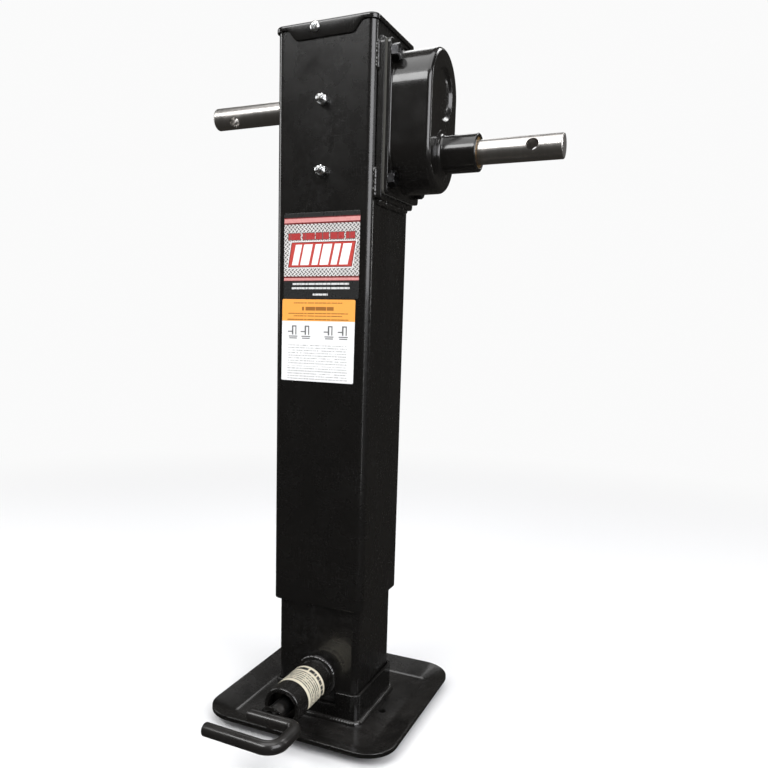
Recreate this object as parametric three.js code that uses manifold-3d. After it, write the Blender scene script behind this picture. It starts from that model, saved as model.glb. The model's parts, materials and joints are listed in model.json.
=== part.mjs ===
// A heavy square-tube trailer jack with a two-speed side-wind gearbox and a spring-pinned drop leg.
//
// Millimetres, +Z up. The origin is the centre of the foot's underside. The front, which carries the
// labels, the grease nipples and the plunger, faces -Y. The gearbox and the low-speed shaft point to +X,
// and the direct-drive end of the cross shaft points to -X.

import * as THREE from "three";
import { mergeVertices } from "three/addons/utils/BufferGeometryUtils.js";
import Module from "manifold-3d";

const wasm = await Module();
wasm.setup();

// ---------------------------------------------------------------- driving dimensions

const GAP = 0.3; // left between pieces that touch on the real jack
const RUN = 0.05; // radial clearance of a shaft in its bushing
const ROUND = 24; // facets of a shaft or a bore
const SMALL = 12; // facets of a pin, a screw or a small hole

const OUTER = { side: 100, wall: 4.5, corner: 8, bottom: 125, top: 680.1 };
const RAM = { side: 90, wall: 4.5, corner: 6, bottom: 8, top: 530 };
const LEG = { side: 80, wall: 4, corner: 6, bottom: 4.8, top: 480 };
const SEAT_STEP = { bottom: 676, depth: 0.1 }; // the tube's end, eased so that the lid slides on
const CAP = { side: 103.6, sheet: 1.6, corner: 8.8, top: 682, skirt: 677, tab: 667 };

const SHAFT_R = 11; // both crank shafts are 22 mm bar
const BUSH_R = 14; // outer radius of every bronze bushing
const HUB_R = 17;
const CRANK_HOLE_R = 5.25;
const CROSS = { z: 620, left: -148, right: 91.2, holeX: -123, holeTilt: -37 };
const INPUT = { z: 566, left: 50.8, right: 210, holeX: 184, holeTilt: 10.5 };

const MODULE = 3; // spur gears, with stub teeth
const REDUCTION_TEETH = 22;
const PINION_TEETH = 14;
const BEVEL_MODULE = 10 / 3;
const BEVEL_GEAR_TEETH = 21;
const BEVEL_PINION_TEETH = 12;
const BEVEL_FACE = 10.3;
const PRESSURE_ANGLE = THREE.MathUtils.degToRad(20);
const ADDENDUM = 0.75; // in modules
const DEDENDUM = 1.0;
const BACKLASH = 0.2; // in modules, taken off each tooth at the pitch circle

const PLATE = { halfY: 43, bottom: 523, top: 662, inner: 50.3, outer: 56.5 };
const GASKET = { inner: 56.8, outer: 59 };
const COVER = {
  inner: 59.3, flange: 62.3, outer: 100, bottom: 528, wall: 2.8,
  halfY: 40, lowZ: 571.9, edge: 6, dishR: 23.5, dishFloorX: 94, dishFloorR: 12,
};
const HUB = { inner: 92, face: 100.3, outer: 135 };
const BOLT = { headR: 7.5, headH: 6.5, shankR: 4, y: 37, lowZ: 541, highZ: 650 };

const SCREW_R = 14;
const SCREW = { bottom: 178, collar: 546, collarTop: 552, journalTop: 575, top: 602.8 };
const BEARING = { lowRace: 552.3, balls: 559.2, highRace: 562.7, raceH: 3.5, ballR: 3.2, ringR: 15.8 };
const BEARING_PLATE = { bottom: 566.5, top: 574.5 };
const NUT = { bottom: 502, top: 528 };
const LOCK_PIN_R = 2.5;

const PIN_Z = 46.5; // height of the plunger's axis
const PIN_R = 8;
const PIN_TIP_Y = -41; // drawn back, clear of the drop leg
const HOLE_PITCH = 38.1;
const HOLE_COUNT = 10;
const PLUNGER_TUBE = { outerR: 19, innerR: 14.5, back: -45.3, front: -120 };
const SEAT = { back: -106, front: -110 };
const WASHER_Y = -77.5;
const HANDLE_R = 6.35;
const HANDLE = { nearY: -145, farY: -187.5, left: -21, side: 31, farLeft: -43, farLeftY: -185 };

const FOOT = { halfX: 102, halfY: 108.5, rimZ: 14, plate: 4.5, band: 25, baseCorner: 8 };
const COLLAR = { side: 97, wall: 3, bottom: 4.8, top: 35, notchHalf: 23.5, notchZ: 21 };
const DRAIN = { x: 60, y: -8, r: 4 };

// ---------------------------------------------------------------- materials

const paint = { color: 0x0c0c0e, roughness: 0.22, metalness: 0.0 };
const steel = { color: 0xb9b6ae, roughness: 0.32, metalness: 1.0 };
const zinc = { color: 0xd4d6d8, roughness: 0.2, metalness: 1.0 };
const bronze = { color: 0x9a7340, roughness: 0.4, metalness: 1.0 };
const darkSteel = { color: 0x4a4a4c, roughness: 0.42, metalness: 1.0 };
const gasketPaper = { color: 0x2a2b28, roughness: 0.8, metalness: 0.0 };
const labelFilm = { color: 0xe8e6df, roughness: 0.35, metalness: 0.0 };
const labelRed = { color: 0xa3262b, roughness: 0.35, metalness: 0.0 };

// ---------------------------------------------------------------- solids from three.js geometry

// A closed three.js geometry as a manifold-3d solid: corners merged and slivers at the poles dropped.
function solid(geometry) {
  const bare = new THREE.BufferGeometry();
  const source = geometry.index ? geometry.toNonIndexed() : geometry;
  bare.setAttribute("position", source.getAttribute("position"));
  const merged = mergeVertices(bare, 1e-4);
  const corners = merged.index.array;
  const kept = [];
  for (let i = 0; i < corners.length; i += 3) {
    const [a, b, c] = [corners[i], corners[i + 1], corners[i + 2]];
    if (a !== b && b !== c && c !== a) kept.push(a, b, c);
  }
  return new wasm.Manifold(
    new wasm.Mesh({
      numProp: 3,
      vertProperties: merged.attributes.position.array,
      triVerts: new Uint32Array(kept),
    }),
  );
}

function join(first, ...others) {
  return others.reduce((sum, other) => sum.add(other), first);
}

function cut(body, ...tools) {
  return tools.reduce((left, tool) => left.subtract(tool), body);
}

// A named mesh with flat shading, placed at x, y, z.
function piece(name, body, finish, x = 0, y = 0, z = 0) {
  const { vertProperties, triVerts, numProp } = body.getMesh();
  const positions = new Float32Array((vertProperties.length / numProp) * 3);
  for (let i = 0; i < positions.length / 3; i++)
    positions.set(vertProperties.subarray(i * numProp, i * numProp + 3), i * 3);
  const geometry = new THREE.BufferGeometry()
    .setAttribute("position", new THREE.BufferAttribute(positions, 3))
    .setIndex(new THREE.BufferAttribute(triVerts, 1));
  geometry.computeVertexNormals();
  const mesh = new THREE.Mesh(geometry, new THREE.MeshStandardMaterial({ ...finish, flatShading: true }));
  mesh.name = name;
  mesh.position.set(x, y, z);
  return mesh;
}

function group(x, y, z, ...members) {
  const made = new THREE.Group();
  made.position.set(x, y, z);
  made.add(...members);
  return made;
}

// ---------------------------------------------------------------- outlines and directions

// Turns geometry made along +Z so that it runs along +X, with its own X and Y as the jack's Y and Z.
const ALONG_X = new THREE.Matrix4().makeBasis(
  new THREE.Vector3(0, 1, 0), new THREE.Vector3(0, 0, 1), new THREE.Vector3(1, 0, 0),
);
// Turns geometry made along +Z so that it runs along -Y, with its own X and Y as the jack's X and Z.
const ALONG_FRONT = new THREE.Matrix4().makeBasis(
  new THREE.Vector3(1, 0, 0), new THREE.Vector3(0, 0, 1), new THREE.Vector3(0, -1, 0),
);
const UPRIGHT = new THREE.Matrix4();

function roundedRect(width, height, radius, Kind = THREE.Shape) {
  const [w, h, r] = [width / 2, height / 2, radius];
  const path = new Kind();
  path.absarc(w - r, h - r, r, 0, Math.PI / 2);
  path.absarc(-w + r, h - r, r, Math.PI / 2, Math.PI);
  path.absarc(-w + r, -h + r, r, Math.PI, Math.PI * 1.5);
  path.absarc(w - r, -h + r, r, Math.PI * 1.5, Math.PI * 2);
  path.closePath();
  return path;
}

// An outline with two half-round ends, standing on end: y is its width and z its height.
function stadium(radius, lowZ, highZ) {
  const path = new THREE.Shape();
  path.absarc(0, highZ, radius, 0, Math.PI);
  path.absarc(0, lowZ, radius, Math.PI, Math.PI * 2);
  path.closePath();
  return path;
}

function extruded(shape, depth, curveSegments = 2, bevel = {}) {
  return new THREE.ExtrudeGeometry(shape, { depth, curveSegments, bevelEnabled: false, ...bevel });
}

// A plain block with its low corner and its size given.
function block(x, y, z, width, depth, height) {
  const box = new THREE.BoxGeometry(width, depth, height);
  box.translate(x + width / 2, y + depth / 2, z + height / 2);
  return solid(box);
}

// A turned body: pairs of radius and distance along the axis, counterclockwise round the section.
function turned(profile, turn = UPRIGHT, facets = ROUND) {
  const points = profile.map(([r, h]) => new THREE.Vector2(r, h));
  if (THREE.ShapeUtils.area(points) < 0) points.reverse();
  if (points.some((p) => p.x > 0 && p.x === Math.min(...points.map((q) => q.x)))) points.push(points[0]);
  const lathe = new THREE.LatheGeometry(points, facets);
  lathe.rotateX(Math.PI / 2);
  return solid(lathe.applyMatrix4(turn));
}

// The corner radius of a faceted bore whose flats just clear a shaft of this radius.
function bore(radius, facets = ROUND) {
  return (radius + RUN) / Math.cos(Math.PI / facets);
}

function disc(radius, from, to, turn = UPRIGHT, facets = ROUND) {
  return turned([[0, from], [radius, from], [radius, to], [0, to]], turn, facets);
}

function ring(outer, inner, from, to, turn = UPRIGHT, facets = ROUND) {
  return turned([[inner, from], [outer, from], [outer, to], [inner, to]], turn, facets);
}

// A square tube standing on its end.
function squareTube({ side, wall, corner, bottom, top }) {
  const shape = roundedRect(side, side, corner);
  shape.holes.push(roundedRect(side - 2 * wall, side - 2 * wall, Math.max(corner - wall, 1.5), THREE.Path));
  const tube = extruded(shape, top - bottom);
  tube.translate(0, 0, bottom);
  return solid(tube);
}

// A round hole across a shaft that lies along X, tilted up from -Y by the given degrees.
function crankHole(x, tilt) {
  const drill = new THREE.CylinderGeometry(CRANK_HOLE_R, CRANK_HOLE_R, SHAFT_R * 3, 16);
  drill.rotateX(-THREE.MathUtils.degToRad(tilt));
  drill.translate(x, 0, 0);
  return solid(drill);
}

// ---------------------------------------------------------------- gear teeth

const involute = (angle) => Math.tan(angle) - angle;

// Half of a tooth's angle at a radius, for an involute tooth whose backlash is already taken off.
function halfTooth(radius, teeth, module) {
  const pitch = (teeth * module) / 2;
  const base = pitch * Math.cos(PRESSURE_ANGLE);
  const pressure = Math.acos(Math.min(1, base / Math.max(radius, base)));
  const atPitch = (Math.PI / 2 - BACKLASH) / teeth;
  return atPitch + involute(PRESSURE_ANGLE) - involute(pressure);
}

// Radii at which a flank is sampled, from the root to the tip.
function flankRadii(pitch, module) {
  const root = pitch - DEDENDUM * module;
  const tip = pitch + ADDENDUM * module;
  return [root, pitch, tip];
}

// The outline of a spur gear, with one tooth centred on the phase angle.
function spurShape(teeth, module, phase) {
  const radii = flankRadii((teeth * module) / 2, module);
  const points = [];
  for (let tooth = 0; tooth < teeth; tooth++) {
    const centre = phase + (2 * Math.PI * tooth) / teeth;
    const flank = radii.map((r) => [r, halfTooth(r, teeth, module)]);
    for (const [r, half] of flank) points.push([r, centre - half]);
    for (const [r, half] of flank.reverse()) points.push([r, centre + half]);
  }
  return new THREE.Shape(points.map(([r, a]) => new THREE.Vector2(r * Math.cos(a), r * Math.sin(a))));
}

// Straight bevel teeth about +Z, with the pitch cone's apex at the origin and the large end below it.
// Each tooth is drawn on the back cone (Tredgold's approximation) and shrinks towards the apex.
function bevelTeeth(teeth, mateTeeth, module, face, phase) {
  const pitch = (teeth * module) / 2;
  const cone = Math.atan2(teeth, mateTeeth);
  const distance = pitch / Math.sin(cone);
  const backPitch = pitch / Math.cos(cone);
  const backTeeth = teeth / Math.cos(cone);
  const rim = [];
  for (let tooth = 0; tooth < teeth; tooth++) {
    const centre = phase + (2 * Math.PI * tooth) / teeth;
    const flank = flankRadii(backPitch, module).map((r) => [
      r * Math.cos(cone),
      halfTooth(r, backTeeth, module) / Math.cos(cone),
      (r - backPitch) * Math.sin(cone) - distance * Math.cos(cone),
    ]);
    for (const [r, half, z] of flank) rim.push([r, centre - half, z]);
    for (const [r, half, z] of flank.reverse()) rim.push([r, centre + half, z]);
  }
  const small = (distance - face) / distance;
  const large = rim.map(([r, a, z]) => [r * Math.cos(a), r * Math.sin(a), z]);
  const inner = large.map((p) => p.map((v) => v * small));
  const faces = [];
  large.forEach((p, i) => {
    const j = (i + 1) % large.length;
    faces.push(p, large[j], inner[j], p, inner[j], inner[i]);
  });
  const seenFromAbove = large.map(([x, y]) => new THREE.Vector2(x, y));
  for (const [a, b, c] of THREE.ShapeUtils.triangulateShape(seenFromAbove, [])) {
    faces.push(inner[a], inner[b], inner[c], large[a], large[c], large[b]);
  }
  const geometry = new THREE.BufferGeometry();
  geometry.setAttribute("position", new THREE.Float32BufferAttribute(faces.flat(), 3));
  return solid(geometry);
}

// ---------------------------------------------------------------- housing

function outerTube() {
  const { bottom, depth } = SEAT_STEP;
  const { side, wall, corner } = OUTER;
  const lidSeat = squareTube({ side: side - 2 * depth, wall: wall - depth, corner: corner - depth, bottom, top: OUTER.top });
  return cut(
    join(squareTube({ ...OUTER, top: bottom }), lidSeat),
    disc(bore(BUSH_R + 0.1), -60, 60, ALONG_X).translate([0, 0, CROSS.z]),
    disc(3.8, 40, 60, ALONG_FRONT, SMALL).translate([0, 0, 612.6]),
    disc(3.8, 40, 60, ALONG_FRONT, SMALL).translate([0, 0, 550]),
    disc(2.9, 40, 60, ALONG_FRONT, SMALL).translate([-9, 0, 676.6]),
  );
}

// A folded sheet lid: a shallow skirt all round and a deeper tab at the front and the back.
function topCap() {
  const { side, sheet, corner, top, skirt, tab } = CAP;
  const roll = 1.8;
  const height = 16;
  const bevel = { bevelEnabled: true, bevelThickness: roll, bevelSize: roll, bevelOffset: -roll, bevelSegments: 2 };
  const outside = extruded(roundedRect(side, side, corner), height - 2 * roll, 3, bevel);
  outside.translate(0, 0, top - height + roll);
  const hollow = extruded(roundedRect(side - 2 * sheet, side - 2 * sheet, corner - sheet), height);
  hollow.translate(0, 0, top - sheet - height);
  const lid = cut(solid(outside), solid(hollow), block(-60, -60, skirt - 30, 120, 120, 30));
  const tabShape = new THREE.Shape([
    new THREE.Vector2(-37, top - 3), new THREE.Vector2(-37, 674.5), new THREE.Vector2(-29, tab),
    new THREE.Vector2(29, tab), new THREE.Vector2(37, 674.5), new THREE.Vector2(37, top - 3),
  ]);
  const tabs = [side / 2 - sheet, -side / 2].map((from) =>
    solid(extruded(tabShape, sheet).translate(0, 0, from).applyMatrix4(ALONG_FRONT)),
  );
  const hole = disc(2.9, 40, 60, ALONG_FRONT, SMALL).translate([-9, 0, 676.6]);
  return cut(join(lid, ...tabs), hole);
}

function capScrew() {
  return turned(
    [[0, 44], [2.5, 44], [2.5, 52], [5, 52], [5, 52.8], [4.2, 54.2], [2.4, 55], [0, 55.2]],
    ALONG_FRONT, SMALL,
  );
}

// A threaded shank, a hexagon and the ball that a grease gun grips.
function greaseNipple() {
  const hexagon = disc(5.2, 50.3, 54.5, ALONG_FRONT, 6);
  const stem = turned(
    [[0, 44], [3.4, 44], [3.4, 54.5], [2.6, 55.5], [2.4, 57.4], [3.3, 59], [3.3, 60.2], [2, 61.6], [0, 61.6]],
    ALONG_FRONT, SMALL,
  );
  return join(stem, hexagon);
}

const boltPlaces = [
  [-BOLT.y, BOLT.lowZ], [BOLT.y, BOLT.lowZ], [-BOLT.y, BOLT.highZ], [BOLT.y, BOLT.highZ],
];

// Holes for the four cover bolts through a plate of the gearbox.
function boltHoles() {
  return boltPlaces.map(([y, z]) => disc(BOLT.shankR + GAP, 40, 70, ALONG_X, SMALL).translate([0, y, z]));
}

function gearboxLayer(from, to, bottom) {
  const shape = roundedRect(2 * PLATE.halfY, PLATE.top - bottom, 4);
  const plate = solid(extruded(shape, to - from, 2).translate(0, 0, from).applyMatrix4(ALONG_X));
  return plate.translate([0, 0, (PLATE.top + bottom) / 2]);
}

function basePlate() {
  return cut(
    gearboxLayer(PLATE.inner, PLATE.outer, PLATE.bottom),
    disc(bore(BUSH_R + 0.1), 40, 70, ALONG_X).translate([0, 0, CROSS.z]),
    disc(bore(BUSH_R + 0.1), 40, 70, ALONG_X).translate([0, 0, INPUT.z]),
    ...boltHoles(),
  );
}

// The space inside the cover, from its open side to its outer wall.
function coverCavity() {
  const { wall, halfY, lowZ, inner, outer, edge } = COVER;
  const radius = halfY - wall;
  const roll = edge - wall;
  const depth = outer - wall - inner;
  const bevel = { bevelEnabled: true, bevelThickness: roll, bevelSize: roll, bevelOffset: -roll, bevelSegments: 2 };
  const space = extruded(stadium(radius, lowZ, CROSS.z), depth, 6, bevel);
  space.translate(0, 0, inner - roll).applyMatrix4(ALONG_X);
  return solid(space);
}

function gasket() {
  return cut(gearboxLayer(GASKET.inner, GASKET.outer, COVER.bottom), coverCavity().translate([-5, 0, 0]), ...boltHoles());
}

// A pressed cover with a bolting flange, a dished seat over the cross shaft and a hole for the input hub.
function gearboxCover() {
  const { inner, flange, outer, halfY, lowZ, edge, bottom, dishR, dishFloorX, dishFloorR } = COVER;
  const bevel = { bevelEnabled: true, bevelThickness: edge, bevelSize: edge, bevelOffset: -edge, bevelSegments: 3 };
  const cup = extruded(stadium(halfY, lowZ, CROSS.z), outer - inner, 6, bevel);
  cup.translate(0, 0, inner - edge).applyMatrix4(ALONG_X);
  const shell = cut(
    join(cut(solid(cup), block(0, -60, 500, inner, 120, 200)), gearboxLayer(inner, flange, bottom)),
    coverCavity(),
  );
  const seat = disc(dishR + 2.5, 91.5, outer - 2, ALONG_X).translate([0, 0, CROSS.z]);
  const boss = disc(HUB_R + 1, 84, 92, ALONG_X).translate([0, 0, CROSS.z]);
  const dish = turned(
    [[0, dishFloorX], [dishFloorR, dishFloorX], [dishR - 3, outer - 1.5], [dishR, outer + 1], [0, outer + 1]],
    ALONG_X,
  ).translate([0, 0, CROSS.z]);
  return cut(
    join(shell, seat, boss), dish,
    disc(bore(BUSH_R + 0.1), 80, 91.5, ALONG_X).translate([0, 0, CROSS.z]),
    disc(bore(HUB_R - 0.9), 80, 110, ALONG_X).translate([0, 0, INPUT.z]),
    ...boltHoles(),
  );
}

function coverBolt() {
  const from = COVER.flange + GAP;
  const head = disc(BOLT.headR, from, from + BOLT.headH, ALONG_X, 6);
  return join(head, disc(BOLT.shankR, PLATE.inner + 1, from + 1, ALONG_X, SMALL));
}

// The long boss that carries the input shaft, with a spigot that passes through the cover.
function inputHub() {
  return turned(
    [
      [bore(BUSH_R + 0.1), HUB.inner], [HUB_R - 1, HUB.inner], [HUB_R - 1, HUB.face], [HUB_R + 1.5, HUB.face],
      [HUB_R, HUB.face + 2.5], [HUB_R, HUB.outer - 2], [HUB_R - 1.5, HUB.outer], [bore(BUSH_R + 0.1), HUB.outer],
    ],
    ALONG_X,
  );
}

function bushing(from, to) {
  return ring(BUSH_R, bore(SHAFT_R), from, to, ALONG_X);
}

function leftHub() {
  return turned(
    [[bore(BUSH_R + 0.1), -60], [HUB_R - 1.5, -60], [HUB_R, -58.5], [HUB_R, -50.3], [bore(BUSH_R + 0.1), -50.3]],
    ALONG_X,
  );
}

function bearingPlate() {
  const side = OUTER.side - 2 * OUTER.wall - 2 * GAP;
  const plate = extruded(roundedRect(side, side, 3), BEARING_PLATE.top - BEARING_PLATE.bottom, 2);
  plate.translate(0, 0, BEARING_PLATE.bottom);
  return cut(solid(plate), disc(bore(10), 560, 580));
}

function thrustRace(from) {
  return ring(21, 10.6, from, from + BEARING.raceH);
}

// A pressed cage with ten balls held in it.
function ballCage() {
  const count = 10;
  let cage = ring(19.4, 12.2, BEARING.balls - 1.2, BEARING.balls + 1.2);
  for (let i = 0; i < count; i++) {
    const ball = new THREE.SphereGeometry(BEARING.ballR, 6, 4);
    const angle = (2 * Math.PI * i) / count;
    ball.rotateX(Math.PI / 2);
    ball.translate(BEARING.ringR * Math.cos(angle), BEARING.ringR * Math.sin(angle), BEARING.balls);
    cage = cage.add(solid(ball));
  }
  return cage;
}

// A thin printed film on the front of the outer tube.
function frontLabel(width, height) {
  return solid(extruded(roundedRect(width, height, 1.5), 0.4, 1).translate(0, 0, OUTER.side / 2 + 0.2)
    .applyMatrix4(ALONG_FRONT));
}

// ---------------------------------------------------------------- gear train

// A shaft with chamfered ends, a crank-pin hole, and a hole for each locking pin.
function crankShaft({ left, right, holeX, holeTilt }, pinXs) {
  const chamfer = 1.2;
  const bar = turned(
    [
      [0, left], [SHAFT_R - chamfer, left], [SHAFT_R, left + chamfer],
      [SHAFT_R, right - chamfer], [SHAFT_R - chamfer, right], [0, right],
    ],
    ALONG_X,
  );
  return cut(bar, crankHole(holeX, holeTilt), ...pinXs.map(pinHole));
}

function pinHole(x) {
  return disc(LOCK_PIN_R + GAP, -30, 30, UPRIGHT, SMALL).translate([x, 0, 0]);
}

// An upright locking pin of the given length, centred on its own middle.
function lockPin(length) {
  return disc(LOCK_PIN_R, -length / 2, length / 2, UPRIGHT, SMALL);
}

const REDUCTION = { left: 69, right: 81, hubLeft: 62.8, pinX: 66 };
const PINION = { left: 68, right: 82, hubRight: 89, pinX: 85.5, hubR: 15.5 };
const BEVEL_PIN_X = 40.6;

function spurGear(teeth, phase, from, to, hubFrom, hubTo, hubRadius, pinX) {
  const wheel = solid(extruded(spurShape(teeth, MODULE, phase), to - from).translate(0, 0, from).applyMatrix4(ALONG_X));
  return cut(
    join(wheel, disc(hubRadius, hubFrom, hubTo, ALONG_X)),
    disc(bore(SHAFT_R), 0, 120, ALONG_X), pinHole(pinX),
  );
}

// The large gear has a gap at the bottom, where the pinion's top tooth meets it.
function reductionGear() {
  const phase = -Math.PI / 2 + Math.PI / REDUCTION_TEETH;
  const { left, right, hubLeft, pinX } = REDUCTION;
  return spurGear(REDUCTION_TEETH, phase, left, right, hubLeft, right, HUB_R, pinX);
}

function inputPinion() {
  const { left, right, hubRight, pinX, hubR } = PINION;
  return spurGear(PINION_TEETH, Math.PI / 2, left, right, left, hubRight, hubR, pinX);
}

// The bevel pinion sits on the gearbox side of the screw, with a gap at the bottom over the gear's tooth.
function bevelPinion() {
  const teeth = bevelTeeth(BEVEL_PINION_TEETH, BEVEL_GEAR_TEETH, BEVEL_MODULE, BEVEL_FACE,
    Math.PI + Math.PI / BEVEL_PINION_TEETH);
  const facing = teeth.rotate([0, -90, 0]);
  return cut(
    join(facing, disc(16.8, 34, 44.6, ALONG_X)),
    disc(bore(SHAFT_R), 0, 60, ALONG_X), pinHole(BEVEL_PIN_X),
  );
}

// The bevel gear on the screw, with one tooth towards +X, its apex on the cross shaft's axis.
function bevelGear() {
  const teeth = bevelTeeth(BEVEL_GEAR_TEETH, BEVEL_PINION_TEETH, BEVEL_MODULE, BEVEL_FACE, 0);
  const hub = turned([[0, -45], [20, -45], [20, -31], [31, -27], [31, -21], [0, -18]]);
  const pinAcross = disc(LOCK_PIN_R + GAP, -40, 40, ALONG_FRONT, SMALL).translate([0, 0, -38]);
  return cut(join(teeth, hub), disc(bore(9), -60, 0), pinAcross);
}

function leadScrew() {
  const { bottom, collar, collarTop, journalTop, top } = SCREW;
  const body = turned([
    [0, bottom - 8], [9, bottom - 8], [9, bottom], [SCREW_R - 2, bottom], [SCREW_R, bottom + 2],
    [SCREW_R, collar], [21.5, collar], [21.5, collarTop], [10, collarTop], [10, journalTop],
    [9, journalTop], [9, top - 1], [8, top], [0, top],
  ]);
  const across = (z) => disc(LOCK_PIN_R + GAP, -30, 30, ALONG_FRONT, SMALL).translate([0, 0, z]);
  return cut(body, across(CROSS.z - 38), across(bottom - 4));
}

function stopCollar() {
  const across = disc(LOCK_PIN_R + GAP, -40, 40, ALONG_FRONT, SMALL).translate([0, 0, SCREW.bottom - 4]);
  return cut(ring(20, bore(9), SCREW.bottom - 8, SCREW.bottom - GAP), across);
}

// ---------------------------------------------------------------- ram and drop leg

function ramTube() {
  const guide = disc(bore(PIN_R), 35, 50, ALONG_FRONT).translate([0, 0, PIN_Z]);
  return cut(squareTube(RAM), guide);
}

function screwNut() {
  const side = RAM.side - 2 * RAM.wall - 2 * GAP;
  const body = extruded(roundedRect(side, side, 2.5), NUT.top - NUT.bottom, 2).translate(0, 0, NUT.bottom);
  return cut(solid(body), disc(bore(SCREW_R), 490, 540));
}

function plungerHousing() {
  const { outerR, innerR, back, front } = PLUNGER_TUBE;
  return ring(outerR, innerR, -back, -front, ALONG_FRONT);
}

function springSeat() {
  return ring(PLUNGER_TUBE.innerR - GAP, bore(PIN_R), -SEAT.back, -SEAT.front, ALONG_FRONT);
}

// A round-wire compression spring between the washer and the seat, as it is with the pin drawn back.
function plungerSpring() {
  const wire = 1.1;
  const radius = 11;
  const turns = 4.5;
  const from = -WASHER_Y + 2 + GAP + wire;
  const to = -SEAT.back - GAP - wire;
  class Coil extends THREE.Curve {
    getPoint(t, target = new THREE.Vector3()) {
      const angle = 2 * Math.PI * turns * t;
      return target.set(radius * Math.cos(angle), radius * Math.sin(angle), from + (to - from) * t);
    }
  }
  const section = new THREE.Shape().absarc(0, 0, wire, 0, 2 * Math.PI);
  const coil = new THREE.ExtrudeGeometry(section, {
    curveSegments: 3, steps: Math.round(turns * 10), bevelEnabled: false, extrudePath: new Coil(),
  });
  return solid(coil.applyMatrix4(ALONG_FRONT));
}

// A film wrapped round the upper right of the plunger's housing.
function plungerLabel() {
  const [inside, outside] = [PLUNGER_TUBE.outerR + 0.2, PLUNGER_TUBE.outerR + 0.5];
  const [from, to] = [THREE.MathUtils.degToRad(-20), THREE.MathUtils.degToRad(140)];
  const band = new THREE.Shape();
  band.absarc(0, 0, outside, from, to);
  band.absarc(0, 0, inside, to, from, true);
  band.closePath();
  return solid(extruded(band, 30, 5).translate(0, 0, 58).applyMatrix4(ALONG_FRONT));
}

function springWasher() {
  return ring(13.8, bore(PIN_R), -WASHER_Y, -WASHER_Y + 2, ALONG_FRONT);
}

function plungerPin() {
  const end = -HANDLE.nearY - HANDLE_R - GAP;
  const body = turned(
    [[0, -PIN_TIP_Y], [PIN_R - 1.5, -PIN_TIP_Y], [PIN_R, -PIN_TIP_Y + 2], [PIN_R, end], [0, end]],
    ALONG_FRONT,
  );
  const across = disc(2.3, -20, 20, UPRIGHT, SMALL).translate([0, WASHER_Y + 2.3, 0]);
  return cut(body, across);
}

function plungerCrossPin() {
  return disc(2, -12.5, 12.5, UPRIGHT, SMALL).translate([0, WASHER_Y + 2.3, 0]);
}

// A bent round bar: a short arm welded across the pin's end, a side, and a longer arm for the hand.
function plungerHandle() {
  const { nearY, farY, left, side, farLeft, farLeftY } = HANDLE;
  const [tight, wide] = [9, 15];
  const at = (x, y) => new THREE.Vector3(x, y, 0);
  const path = new THREE.CurvePath();
  path.add(new THREE.LineCurve3(at(left, nearY), at(side - tight, nearY)));
  path.add(new THREE.QuadraticBezierCurve3(at(side - tight, nearY), at(side, nearY), at(side, nearY - tight)));
  path.add(new THREE.LineCurve3(at(side, nearY - tight), at(side, farY + wide)));
  path.add(new THREE.QuadraticBezierCurve3(at(side, farY + wide), at(side, farY), at(side - wide, farY)));
  path.add(new THREE.LineCurve3(at(side - wide, farY), at(farLeft, farLeftY)));
  const section = new THREE.Shape().absarc(0, 0, HANDLE_R, 0, 2 * Math.PI);
  return solid(new THREE.ExtrudeGeometry(section, {
    curveSegments: 5, steps: 24, bevelEnabled: false, extrudePath: path,
  }));
}

function dropLeg() {
  const holes = [];
  for (let i = 0; i < HOLE_COUNT; i++)
    holes.push(disc(PIN_R + 0.85, 30, 50, ALONG_FRONT, 14).translate([0, 0, PIN_Z + i * HOLE_PITCH]));
  return cut(squareTube(LEG), ...holes);
}

// The solid under one face of the dished foot: a rounded plate that widens upwards by the rim's band.
function footBlank(inset, lift) {
  const { halfX, halfY, rimZ, plate, band, baseCorner } = FOOT;
  const grow = band - 1;
  const rise = rimZ - plate;
  const [w, h] = [2 * (halfX - grow - inset), 2 * (halfY - grow - inset)];
  const bevel = { bevelEnabled: true, bevelThickness: rise, bevelSize: grow, bevelSegments: 1 };
  const blank = extruded(roundedRect(w, h, baseCorner), 60, 3, bevel);
  return solid(blank.translate(0, 0, rise + lift));
}

function footPlate() {
  const { halfX, halfY, rimZ, plate } = FOOT;
  const above = block(-halfX - 20, -halfY - 20, rimZ, 2 * halfX + 40, 2 * halfY + 40, 120);
  const drains = [[DRAIN.x, DRAIN.y], [-DRAIN.x, -DRAIN.y]].map(([x, y]) =>
    disc(DRAIN.r, -1, plate + 1, UPRIGHT, SMALL).translate([x, y, 0]));
  return cut(footBlank(0, 0), above, footBlank(1.6, plate), ...drains);
}

// A square collar welded to the foot, notched at the front so that the plunger's tube can sit in it.
function footCollar() {
  const { side, wall, bottom, top, notchHalf, notchZ } = COLLAR;
  const tube = squareTube({ side, wall, corner: 8, bottom, top });
  return cut(tube, block(-notchHalf, -60, notchZ, 2 * notchHalf, 30, 30));
}

// ---------------------------------------------------------------- assembly

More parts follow.
